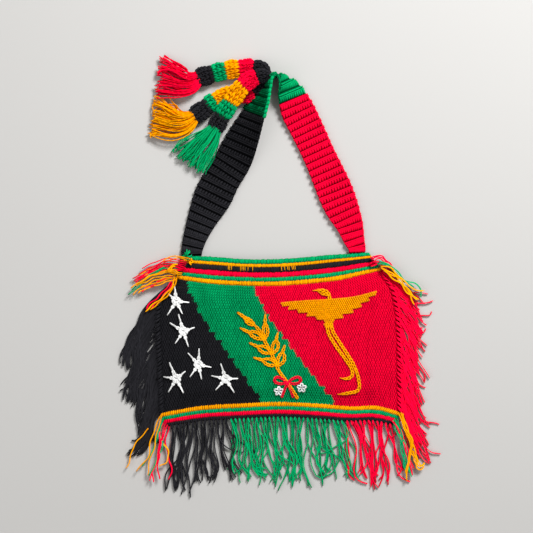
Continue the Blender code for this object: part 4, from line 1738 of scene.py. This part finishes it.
FRINGES = (
    Fringe("fringe_left", K, Zone.PANEL, (0.0, 0.97), (0.0, 0.01), 204, 30, 111, lay(
        (0.0, 206, 256, 0.088), (0.25, 220, 258, 0.09), (0.5, 232, 258, 0.086),
        (0.75, 246, 262, 0.08), (1.0, 240, 240, 0.072),
    ), lock=6, turns=(9.0, 5.0), sway=(15.0, 9.0), radius=0.0015, hook=0.016),
    Fringe("fringe_right", R, Zone.PANEL, (1.0, 0.97), (1.0, 0.01), 132, 27, 113, lay(
        (0.0, -20, -48, 0.054), (0.1, -34, -58, 0.054), (0.25, -48, -66, 0.06),
        (0.45, -60, -74, 0.064), (0.7, -74, -68, 0.074), (1.0, -68, -62, 0.078),
    ), lock=3, gather=0.3, turns=(6.0, 6.0), sway=(10.0, 15.0), stray=0.06, hook=-0.016),
    Fringe("fringe_foot_black", K, Zone.BORDER, (0.02, 0.0), (0.27, 0.0), 42, 14, 115, lay(
        (0.0, 276, 262, 0.08), (0.5, 268, 270, 0.084), (1.0, 281, 277, 0.074),
    ), lock=3, gather=0.35, sway=(15.0, 20.0), stray=0.06, radius=0.00145),
    Fringe("fringe_foot_green", G, Zone.BORDER, (0.275, 0.0), (0.775, 0.0), 66, 27, 117, lay(
        (0.0, 281, 278, 0.076), (0.3, 275, 269, 0.084), (1.0, 280, 270, 0.08),
    ), lock=2, gather=0.3, turns=(9.0, 8.0), sway=(17.0, 25.0), stray=0.1, radius=0.0014),
    Fringe("fringe_foot_red", R, Zone.BORDER, (0.78, 0.0), (0.985, 0.0), 26, 11, 219, lay(
        (0.0, 288, 276, 0.08), (0.5, 286, 268, 0.083), (1.0, 268, 270, 0.075),
    ), lock=2, gather=0.3, turns=(9.0, 9.0), sway=(17.0, 20.0), stray=0.0, radius=0.00152),
)


@dataclass(frozen=True)
class Tail:
    """A loose end of border yarn: its yarn, the heights where it starts and ends, and its route."""

    yarn: Yarn
    start: float
    end: float
    route: tuple[Pair, ...]


@dataclass
class LooseEnds:
    """The loose ends of the border yarns at one corner."""

    name: str
    seed: int
    twins: int  # strands beside each one that is listed
    tails: Sequence[Tail]
    rings: int = 22
    radius: float = 0.00155

    def build(self) -> None:
        """Makes the ends, as one piece."""
        draw = default_rng(self.seed)
        order = [(tail, twin) for tail in self.tails for twin in range(self.twins + 1)]
        bundles = [self.strand(tail, twin, draw) for tail, twin in order]
        settle(yarn_mesh(f"{self.name}_strands", bundles), self.tails[0].yarn.value, self.name)

    def strand(self, tail: Tail, twin: int, draw: Generator) -> Tubes:
        """One strand of a loose end.

        Args:
            tail: The loose end.
            twin: 0 for the strand on the route, or the number of one beside it.
            draw: The piece's random draws.

        Returns:
            The strand as a tube.
        """
        t = np.linspace(0, 1, self.rings)
        plan = through(np.array(tail.route) * MM).points("x y", t * (1.0 - 0.1 * twin))
        side = left_of(unit(np.gradient(plan, axis=0)))
        beside = twin * draw.choice((-1, 1)) * (0.0022 + 0.0035 * t * draw.uniform(-0.6, 1.0))
        sway = 0.0007 * np.sin(t * 17 + draw.uniform(0, 6))
        plan = plan + side * (beside + sway)[:, None]
        level = blend(tail.start, tail.end, eased(t * 1.2)) * MM + 0.5 * sway - 0.0006 * twin
        path = np.concatenate([plan, level[:, None]], axis=1)
        return strands(path[None], tail.yarn, draw, self.radius)


CORNERS = (
    LooseEnds("ends_top_left", 121, 1, (
        Tail(Y, 12.5, 6, ((-114, 21), (-129, 25), (-143, 20), (-161, 9), (-179, 0))),
        Tail(R, 13, 7, ((-116, 14), (-132, 18), (-149, 16), (-163, 9), (-178, 2))),
        Tail(R, 13.5, 6, ((-117, 12), (-133, 15), (-150, 13), (-165, 6), (-186, -4))),
        Tail(R, 13, 5, ((-117, 10), (-133, 13), (-150, 10), (-166, 4), (-184, -8))),
        Tail(R, 12.5, 6.5, ((-117, 8), (-133, 10), (-151, 7), (-168, 0), (-182, -10))),
        Tail(G, 11.5, 7.5, ((-127, 6), (-144, 8), (-161, -1), (-177, -14), (-191, -26))),
        Tail(Y, 14, 9, ((-129, 1), (-140, 3), (-153, 1), (-170, -6), (-188, -17))),
        Tail(Y, 13, 8.5, ((-130, -1), (-140, -1), (-155, -3), (-169, -9), (-181, -14))),
        Tail(Y, 12.5, 8, ((-130, -3), (-147, -8), (-161, -12), (-176, -17), (-185, -26))),
        Tail(R, 11, 7.5, ((-131, -1), (-147, -6), (-161, -14), (-174, -21))),
        Tail(Y, 13, 9, ((-130, -3), (-135, -16), (-147, -29), (-160, -39), (-169, -47))),
        Tail(R, 12, 8.5, ((-131, -4), (-142, -17), (-153, -29), (-164, -38), (-168, -44))),
        Tail(Y, 15, 15, ((-122, 0), (-133, 4), (-139, 6), (-135, 12), (-127, 14))),
    )),
    LooseEnds("ends_top_right", 123, 0, (
        Tail(G, 12, 7, ((133, 17), (146, 14), (156, 5), (166, -6), (181, -12), (188, -20), (188, -29))),
        Tail(G, 12, 7, ((131, 15), (144, 12), (154, 3), (165, -8), (178, -15))),
        Tail(R, 11, 5, ((121, 14), (129, 18), (138, 15), (148, 6), (158, -6))),
        Tail(R, 11, 5, ((122, 12), (131, 14), (140, 10), (150, -1), (160, -14))),
        Tail(R, 12, 6, ((122, 21), (128, 25), (137, 24), (145, 17), (154, 7))),
        Tail(R, 12, 5.5, ((124, 19), (130, 24), (138, 21), (147, 13), (155, 3))),
        Tail(R, 12, 5, ((124, 17), (131, 21), (139, 18), (148, 9), (160, -4))),
        Tail(Y, 12.5, 8, ((135, 12), (148, 9), (160, -3), (172, -13), (185, -21), (191, -20))),
        Tail(Y, 12.5, 8.5, ((135, 9), (148, 4), (160, -8), (170, -18), (182, -32))),
        Tail(Y, 12.5, 8, ((136, 8), (150, 0), (161, -6), (169, -18), (179, -38))),
        Tail(Y, 12, 8, ((139, 6), (152, -5), (162, -12), (172, -25), (185, -31))),
        Tail(R, 8, 5, ((136, 6), (146, -1), (157, -11), (168, -24))),
        Tail(R, 7, 4, ((137, 4), (147, -5), (156, -17), (171, -30))),
        Tail(R, 7, 4.5, ((137, 2), (146, -8), (154, -21), (161, -37))),
    )),
    LooseEnds("ends_foot_left", 125, 0, (
        Tail(Y, 8, 7, ((-148, -179), (-155, -195), (-162, -214), (-165, -234), (-181, -254))),
        Tail(Y, 8, 6.5, ((-147, -182), (-153, -199), (-157, -221), (-165, -247), (-166, -259))),
        Tail(Y, 7, 5, ((-165, -199), (-177, -212), (-187, -228), (-190, -243), (-195, -250))),
        Tail(G, 7.8, 7, ((-147, -185), (-150, -202), (-147, -222), (-155, -240), (-164, -260))),
        Tail(G, 7.6, 6, ((-146, -186), (-153, -204), (-157, -222), (-164, -234), (-173, -248))),
        Tail(R, 7.6, 7, ((-143, -188), (-150, -202), (-151, -221), (-155, -243), (-164, -266))),
        Tail(R, 7.6, 7.4, ((-142, -191), (-147, -205), (-151, -228), (-153, -247), (-151, -264))),
        Tail(R, 7.6, 6.6, ((-140, -194), (-148, -214), (-152, -238), (-160, -254), (-159, -268))),
        Tail(R, 3, 6, ((-138, -194), (-143, -214), (-140, -234), (-135, -251), (-139, -265))),
        Tail(Y, 6, 7.2, ((-151, -214), (-143, -221), (-139, -233), (-143, -243), (-151, -248))),
    )),
    LooseEnds("ends_foot_right", 127, 1, (
        Tail(G, 7.8, 7, ((156, -185), (162, -202), (164, -221), (169, -240), (173, -256))),
        Tail(G, 7.8, 6.6, ((153, -187), (161, -207), (168, -222), (169, -240), (176, -261))),
        Tail(Y, 8.2, 7.4, ((161, -178), (166, -194), (176, -214), (174, -234), (169, -254), (170, -266))),
        Tail(Y, 8.2, 6.8, ((164, -179), (169, -196), (173, -209), (179, -225), (187, -248))),
        Tail(R, 7.6, 6.6, ((150, -188), (159, -202), (166, -221), (172, -243), (177, -259))),
        Tail(Y, 6, 7, ((177, -228), (182, -238), (186, -248), (192, -243))),
    )),
)


def on_front(plan: Array, lift: Array | float) -> tuple[Array, Array]:
    """Places over the stitches of the front panel.

    Args:
        plan: x and y in plan, as the last axis.
        lift: Heights above the tops of the stitches.

    Returns:
        The places, and the cloth's normals there.
    """
    u, v = BODY.shares(plan[..., 0], plan[..., 1])
    places, normals = BodyFace(Zone.PANEL, True, LAYER - SUNK).place(u, v, 0.0 * u)
    places = np.concatenate([plan, places[..., 2:]], axis=-1)
    return places + UP * np.broadcast_to(lift, u.shape)[..., None], normals


def resampled(route: Sequence[Pair], pitch: float) -> Array:
    """A smooth line through points in plan, with places at an even pitch along it."""
    points = np.array(route)
    if len(points) == 2:
        fine = blend(points[0], points[1], np.linspace(0, 1, 50)[:, None])
    else:
        fine = through(points).points("x y", np.linspace(0, 1, 200))
    run = run_along(fine)
    at = np.linspace(0, run[-1], max(round(run[-1] / pitch), 1) + 1)
    return np.stack([np.interp(at, run, fine[:, axis]) for axis in (0, 1)], axis=-1)


@dataclass
class Chains:
    """Surface chain stitch: a row of looped links laid over the cloth."""

    yarn: Yarn
    width: float = 0.0034
    pitch: float = 0.0032
    proud: float = 0.0007
    seed: int = 201

    def along(
        self, lines: Sequence[Sequence[Pair]], point: float = 0.0, tip: float = 0.5
    ) -> list[Tubes]:
        """Chain stitch along lines in plan.

        Args:
            lines: The lines' points.
            point: How far from its start each line narrows to a point.
            tip: The size of the first link, as a share of the others'.

        Returns:
            The two strands of every link.
        """
        starts, ends, sizes = [], [], []
        for line in lines:
            places = resampled(line, self.pitch)
            starts.append(places[:-1])
            ends.append(places[1:])
            gone = (np.arange(len(places) - 1) + 0.5) * self.pitch
            sizes.append(blend(tip, 1.0, eased(gone / point)) if point else np.ones(len(gone)))
        return self.links(np.concatenate(starts), np.concatenate(ends), np.concatenate(sizes))

    def links(self, start: Array, end: Array, size: Array) -> list[Tubes]:
        """One link from each start to its end, each of its own size."""
        draw = default_rng(self.seed)
        ahead = end - start
        side = unit(left_of(ahead)) * self.width * size[:, None]
        tint = draw.normal(0, 0.5, len(start))
        wide = draw.normal(1.0, 0.07, (len(start), 1, 1))
        t = np.array([-0.22, 0.12, 0.5, 0.86, 1.12])
        out = np.array([0.03, 0.24, 0.34, 0.22, 0.03])
        rise = np.array([-0.5, 0.4, 0.9, 1.1, 0.5]) * self.proud
        made = []
        for hand in (-1.0, 1.0):
            plan = start[:, None] + ahead[:, None] * t[None, :, None]
            plan = plan + side[:, None] * out[None, :, None] * hand * wide
            places, normals = on_front(plan, rise)
            radius = self.width * 0.205 * np.sqrt(size)[:, None] * np.array([0.7, 1, 1, 1, 0.8])
            # painted shade at the ends of each link, where it tucks under the next
            recess = every((1.0, 0.4, 0, 0, 0.5), plan.shape[:2])
            made.append(Tubes(places, normals, radius, self.yarn, tint, recess, 0.95))
        return made


@dataclass(frozen=True)
class Star:
    """A five-armed star in satin stitch: its middle, and each arm's direction and length."""

    centre: Pair
    arms: tuple[Pair, ...]
    body: float = 0.0013  # half of an arm's width at its foot
    tip: float = 0.0005  # half of its width at its tip
    ring: float = 0.0042
    heart: float = 0.0056
    knots: int = 10

    def tips(self) -> Array:
        """Where the arms end, from the star's middle."""
        turns, lengths = np.array(self.arms).T
        return aim(np.radians(turns)) * lengths[:, None]

    def lumps(self) -> list[Array]:
        """Lines of the chains that thicken the middle and the foot of each arm."""
        centre = np.array(self.centre)
        ring = self.ring * aim(np.linspace(0, math.tau, 9))
        return [*(centre + np.array([0.1 * tip, 0.5 * tip]) for tip in self.tips()), centre + ring]

    def paths(self) -> tuple[Array, Array]:
        """The star's strands.

        Returns:
            The strands' paths in plan, and the lift of each.
        """
        made, lifts = [], []
        centre = np.array(self.centre)
        t = np.linspace(0, 1, 9)[:, None]
        tips = self.tips()
        fan = ((-1.0, 0.5), (1.0, 0.5), (-0.5, 0.74), (0.4, 0.9), (0.0, 1.0))
        for number, tip in enumerate(tips):
            side = unit(left_of(tip))
            for order, (off, share) in enumerate(fan):
                start = side * off * self.body - 0.12 * tip
                made.append(centre + blend(start, tip * share + side * off * self.tip, t))
                lifts.append(0.0004 + 0.00016 * order)
            following = tips[(number + 1) % len(tips)]
            for share in (0.14, 0.24):
                made.append(centre + blend(tip, following, t) * share * (1 - 1.5 * t * (1 - t)))
                lifts.append(0.0009)
        for knot in range(self.knots):
            reach = 0.75 + 0.25 * (knot % 2)
            start, end = (aim(turn) * self.heart * reach for turn in (2.4 * knot, 2.4 * knot + 2.0))
            made.append(centre + blend(start, end, t) * (1 - 0.8 * t * (1 - t)))
            lifts.append(0.0014 + 0.0003 * (knot % 3))
        return np.array(made), np.array(lifts)


STARS = (
    Star((-0.1287, -0.0338), ((98, 0.022), (138, 0.0157), (-5, 0.0163), (-64, 0.018), (-123, 0.0216))),
    Star((-0.1196, -0.0728), ((106, 0.023), (148, 0.0207), (20, 0.0152), (-72, 0.0206), (-124, 0.0187))),
    Star((-0.1001, -0.1157), ((88, 0.0208), (132, 0.0202), (-11, 0.0166), (-78, 0.0193), (-125, 0.0191))),
    Star((-0.1287, -0.1339), ((114, 0.0227), (173, 0.017), (40, 0.0152), (-63, 0.0203), (-121, 0.0204))),
    Star((-0.065, -0.1339), ((108, 0.0205), (168, 0.0186), (2, 0.0156), (-58, 0.0207), (-132, 0.0193))),
)


@dataclass
class StarField:
    """The white stars on the black field."""

    stars: Sequence[Star] = STARS
    radius: float = 0.00132
    seed: int = 211

    def build(self) -> None:
        """Makes all the stars, as one piece."""
        draw = default_rng(self.seed)
        chains = Chains(W, 0.0048, 0.0036, 0.0016, seed=self.seed + 1)
        bundles = []
        for star in self.stars:
            bundles += chains.along(star.lumps())
            plan, lifts = star.paths()
            t = np.linspace(0, 1, plan.shape[1])[None]
            dip = -0.0009 * np.maximum(np.abs(2 * t - 1) - 0.85, 0) / 0.15
            places, normals = on_front(plan, lifts[:, None] + dip)
            shape = plan.shape[:2]
            radius = np.full(shape, self.radius) * draw.normal(1, 0.05, (len(plan), 1))
            radius[:, -1] *= 0.95
            tint = draw.normal(0, 0.6, len(plan))
            bundles.append(Tubes(places, normals, radius, W, tint, np.zeros(shape), 0.8, 6))
        settle(yarn_mesh("embroidered_stars", bundles), W.value)


@dataclass(frozen=True)
class Leaf:
    """An open leaf of the sprig: its tip, where it joins the stem, and how wide it opens."""

    tip: Pair
    join: Pair
    left: float
    right: float
    closed: float = 0.34

    def lines(self) -> list[list[Pair]]:
        """The stalk at the tip and the leaf's two sides."""
        tip, join = np.array(self.tip), np.array(self.join)
        ahead = join - tip
        side = unit(left_of(ahead))
        fork = tip + ahead * self.closed
        lines = [[tuple(tip), tuple(fork)]]
        for off in (self.left, -self.right):
            middle = [fork + (join - fork) * s + side * off * w for s, w in ((0.3, 0.85), (0.68, 1.0))]
            lines.append([tuple(fork), *map(tuple, middle), tuple(join)])
        return lines


@dataclass
class Sprig:
    """The yellow leaf sprig on the green field, in chain stitch."""

    stem: tuple[Pair, ...] = (
        (0.028, -0.1599), (0.0148, -0.1391), (0.0026, -0.1217), (-0.003, -0.1079), (-0.0148, -0.085),
        (-0.0234, -0.0694), (-0.0285, -0.064),
    )
    bud: tuple[tuple[Pair, ...], ...] = (
        ((-0.0494, -0.0485), (-0.045, -0.0515), (-0.0405, -0.055), (-0.036, -0.0595)),
        ((-0.0412, -0.054), (-0.0358, -0.0562), (-0.0318, -0.0598), (-0.0285, -0.064)),
        ((-0.0412, -0.0548), (-0.0386, -0.0596), (-0.035, -0.063), (-0.029, -0.064)),
    )
    leaves: tuple[Leaf, ...] = (
        Leaf((-0.0462, -0.0685), (-0.017, -0.0825), 0.004, 0.0027),
        Leaf((-0.0338, -0.0878), (-0.0065, -0.1), 0.0036, 0.004),
        Leaf((-0.0286, -0.1066), (0.001, -0.115), 0.0036, 0.004),
        Leaf((-0.0139, -0.0511), (-0.015, -0.083), 0.0036, 0.002, 0.3),
        Leaf((0.0023, -0.0746), (-0.0045, -0.101), 0.0048, 0.0023, 0.3),
        Leaf((0.0111, -0.091), (0.0026, -0.1165), 0.0053, 0.0027, 0.3),
    )

    def build(self) -> None:
        """Makes the sprig, as one piece."""
        chains = Chains(Y, 0.0045, 0.0042, seed=221)
        lines = [self.stem[::-1], *self.bud]
        for leaf in self.leaves:
            lines += leaf.lines()
        settle(yarn_mesh("embroidered_sprig", chains.along(lines, 0.0075)), Y.value)


@dataclass
class Posy:
    """A small red bow and two small white flowers at the sprig's foot."""

    knot: Pair = (0.0148, -0.1391)
    flowers: tuple[Pair, ...] = ((0.0035, -0.15), (0.033, -0.1455))
    eye: float = 0.001
    petal: float = 0.0058

    def bow(self) -> list[Array]:
        """The bow's two loops and two ends, as lines."""
        loop = ((0, 0), (8.0, 6.2), (15.0, 7.5), (17.5, 3.0), (12.0, -0.8), (0, 0))
        end = ((0, 0), (4.0, -9.0), (7.5, -19.0))
        lines = (np.array(line) * MM * (hand, 1) for hand in (-1, 1) for line in (loop, end))
        return [np.array(self.knot) + line for line in lines]

    def build(self) -> None:
        """Makes the bow and the flowers, as one piece each."""
        bow = yarn_mesh("embroidered_bow", Chains(R, 0.0036, 0.0034, 0.0013).along(self.bow()))
        starts, ends = [], []
        for flower in self.flowers:
            for turn in np.arange(5) / 5 * math.tau + 0.3:
                starts.append(np.array(flower) + aim(turn) * self.eye)
                ends.append(np.array(flower) + aim(turn) * self.petal)
        whole = np.ones(len(starts))
        petals = Chains(W, 0.005, seed=231).links(np.array(starts), np.array(ends), whole)
        settle(bow, R.value)
        settle(yarn_mesh("embroidered_flowers", petals), W.value)


@dataclass(frozen=True)
class WingFace(Surface):
    """The bird's body as a face over the panel: u runs across it and v up to its top edge."""

    top: Table
    height: float

    def point(self, u: Array, v: Array) -> Array:
        """Places on the face."""
        u, v = together(u, v)
        y = self.top.read("y", u) - (1 - v) * self.height
        return on_front(np.stack([self.top.read("x", u), y], axis=-1), 0.0004)[0]


@dataclass
class Bird:
    """The yellow bird on the red field: a stepped body of close rows, a head and two long plumes."""

    top: Table = Table(
        "x y",
        (
            (0.0065, -0.0351), (0.0374, -0.0324), (0.0683, -0.0306), (0.0991, -0.0277), (0.13, -0.0202),
        ),
    )
    left_steps: tuple[float, ...] = (6.5, 16.1, 28.0, 39.6, 52.4, 61.9, 62.6)
    right_steps: tuple[float, ...] = (130.0, 120.5, 109.5, 98.8, 85.8, 74.5, 73.5)
    row_height: float = 0.0026
    columns: int = 47
    head: tuple[Pair, ...] = (
        (47.5, -20.0), (60.8, -19.8), (66.3, -21.7), (68.5, -26.0), (68.9, -32.0),
    )
    cheek: tuple[Pair, ...] = ((54.0, -21.4), (60.5, -24.6), (66.8, -25.0))
    plumes: tuple[tuple[Pair, ...], ...] = (
        (
            (66.0, -62.0), (66.8, -72.8), (74.2, -87.1), (82.8, -99.5), (91.7, -111.8), (97.4, -121.2),
            (98.9, -128.3), (96.6, -131.9), (90.5, -133.9), (82.6, -132.7),
        ),
        (
            (71.0, -62.0), (72.6, -71.5), (80.4, -84.5), (88.4, -96.9), (96.5, -109.5), (103.0, -122.2),
            (106.9, -137.0), (107.4, -146.2), (105.4, -149.6), (98.4, -151.4), (88.4, -153.2),
            (79.4, -154.2),
        ),
    )

    def body(self) -> list[Tubes]:
        """The body's rows of stitches, two to each step of its sides."""
        rows = 2 * len(self.left_steps)
        face = WingFace(self.top, rows * self.row_height)
        kept = []
        for row in range(rows):
            cells = grid_cells(self.columns, 1 - (row + 1) / rows, 1 - row / rows, 0.5 * (row % 2))
            x = self.top.read("x", cells[:, :2].mean(axis=1))
            low, high = self.left_steps[row // 2] * MM, self.right_steps[row // 2] * MM
            kept.append(cells[(x > low) & (x < high)])
        worker = Stitches(face, 241, 0.03, 0.04, 0.06)
        return worker.work(np.concatenate(kept), Y, V_LEG.pair(), 0.0034, 0.0006)

    def build(self) -> None:
        """Makes the body, and the head and plumes."""
        lines = (self.head, self.cheek, *(plume[::-1] for plume in self.plumes))
        chains = Chains(Y, 0.0046, 0.0048, 0.0011, seed=243)
        outline = chains.along([np.array(line) * MM for line in lines], 0.012, 0.1)
        settle(yarn_mesh("embroidered_bird_body", self.body()), Y.value)
        settle(yarn_mesh("embroidered_bird_line", outline), Y.value)


@dataclass
class Snarl:
    """A small tuft of loose yarn on the mouth band."""

    name: str
    yarn: Yarn
    at: Pair
    size: float
    count: int
    seed: int

    def build(self) -> None:
        """Makes the tuft, as one piece."""
        draw = default_rng(self.seed)
        face = BodyFace(Zone.MOUTH, True, LAYER)
        place, _ = face.place(np.array(self.at[0]), np.array(self.at[1]), 0.0)
        t = np.linspace(0, 1, 8)[None]
        turn = draw.uniform(0, math.tau, (self.count, 1)) + draw.normal(0, 2.2, (self.count, 1)) * t
        step = self.size * draw.uniform(0.6, 1.2, (self.count, 1, 1)) / 7
        walk = np.cumsum(aim(turn) * step, axis=1)
        level = draw.uniform(0.0003, 0.0022, (self.count, 1)) + 0.0012 * np.sin(t * math.pi)
        paths = np.concatenate([walk, level[..., None]], axis=-1) + place
        settle(yarn_mesh(self.name, [strands(paths, self.yarn, draw)]), self.yarn.value)


SNARLS = (
    Snarl("snarl_green", G, (0.03, 1.02), 0.006, 10, 251),
    Snarl("snarl_yellow", Y, (0.055, 0.8), 0.0045, 6, 253),
)


@dataclass
class Studio:
    """The floor, the lights and the camera."""

    view_centre: Pair = (-0.01235, 0.01105)
    view_width: float = 0.6929
    lens: float = 85.0
    floor_size: float = 6.0
    sensor: float = 36.0

    def floor(self) -> None:
        """A plain pale floor just under the bag."""
        form = bmesh.new()
        bmesh.ops.create_grid(form, x_segments=1, y_segments=1, size=self.floor_size / 2)
        mesh = bpy.data.meshes.new("floor")
        form.to_mesh(mesh)
        form.free()
        material, _, shader = new_material("pale_floor")
        fill(shader, Base_Color=(0.42, 0.414, 0.404, 1.0), Roughness=0.9)
        mesh.materials.append(material)
        show("floor", mesh)

    def light(self, name: str, place: Sequence[float], size: float, power: float) -> None:
        """One square light that faces the bag.

        Args:
            name: The light's name.
            place: Where it hangs.
            size: Its side in metres.
            power: Its power in watts.
        """
        data = bpy.data.lights.new(name, "AREA")
        data.size = size
        data.energy = power
        made = show(name, data)
        made.location = place
        made.rotation_euler = (-Vector(place)).to_track_quat("-Z", "Y").to_euler()

    def camera(self) -> None:
        """A camera straight above the bag."""
        data = bpy.data.cameras.new("camera")
        data.lens = self.lens
        data.sensor_width = self.sensor
        distance = self.view_width * self.lens / self.sensor
        made = show("camera", data)
        made.location = (*self.view_centre, distance)
        bpy.context.scene.camera = made

    def build(self) -> None:
        """Sets the whole studio up."""
        self.camera()
        self.floor()
        self.light("key", (0.85, 1.4, 1.55), 0.7, 78.0)
        self.light("fill", (-1.3, -0.5, 1.5), 1.6, 12.0)
        world = bpy.data.worlds.new("studio_air")
        world.use_nodes = True
        fill(world.node_tree.nodes["Background"], Color=(1.0, 0.99, 0.97, 1.0), Strength=0.43)
        bpy.context.scene.world = world
        bpy.context.scene.view_settings.view_transform = "Standard"


def declare_cloth() -> None:
    """Gathers the names of the pieces that go with the cloth, and does nothing more with them."""
    pieces = [f"front_stitches_{yarn.name.lower()}" for yarn in FIELDS]
    worked = ("stars", "sprig", "bow", "flowers", "bird_body", "bird_line")
    pieces += [f"embroidered_{name}" for name in worked]
    edges = ("fringe_left", "fringe_right", "ends_top_left", "ends_top_right")
    pieces += [f"{name}_strands" for name in edges]
    pieces = [f"fringe_foot_{yarn}_strands" for yarn in ("black", "green", "red")]
    pieces += [f"ends_foot_{side}_strands" for side in ("left", "right")]
    pieces += [f"foot_border_{side}_stitches" for side in ("front", "back")]


def main() -> None:
    """Builds the studio and the bag."""
    logging.basicConfig(level=logging.INFO, format="%(name)s: %(message)s")
    Studio().build()
    for part in (FrontPanel(), BackPanel(), Bands(), *STRAPS, Hub(), *TIES, *TASSELS):
        part.build()
    for part in (*FRINGES, *CORNERS, StarField(), Sprig(), Posy(), Bird(), *SNARLS):
        part.build()
    declare_cloth()


if __name__ == "__main__":
    main()
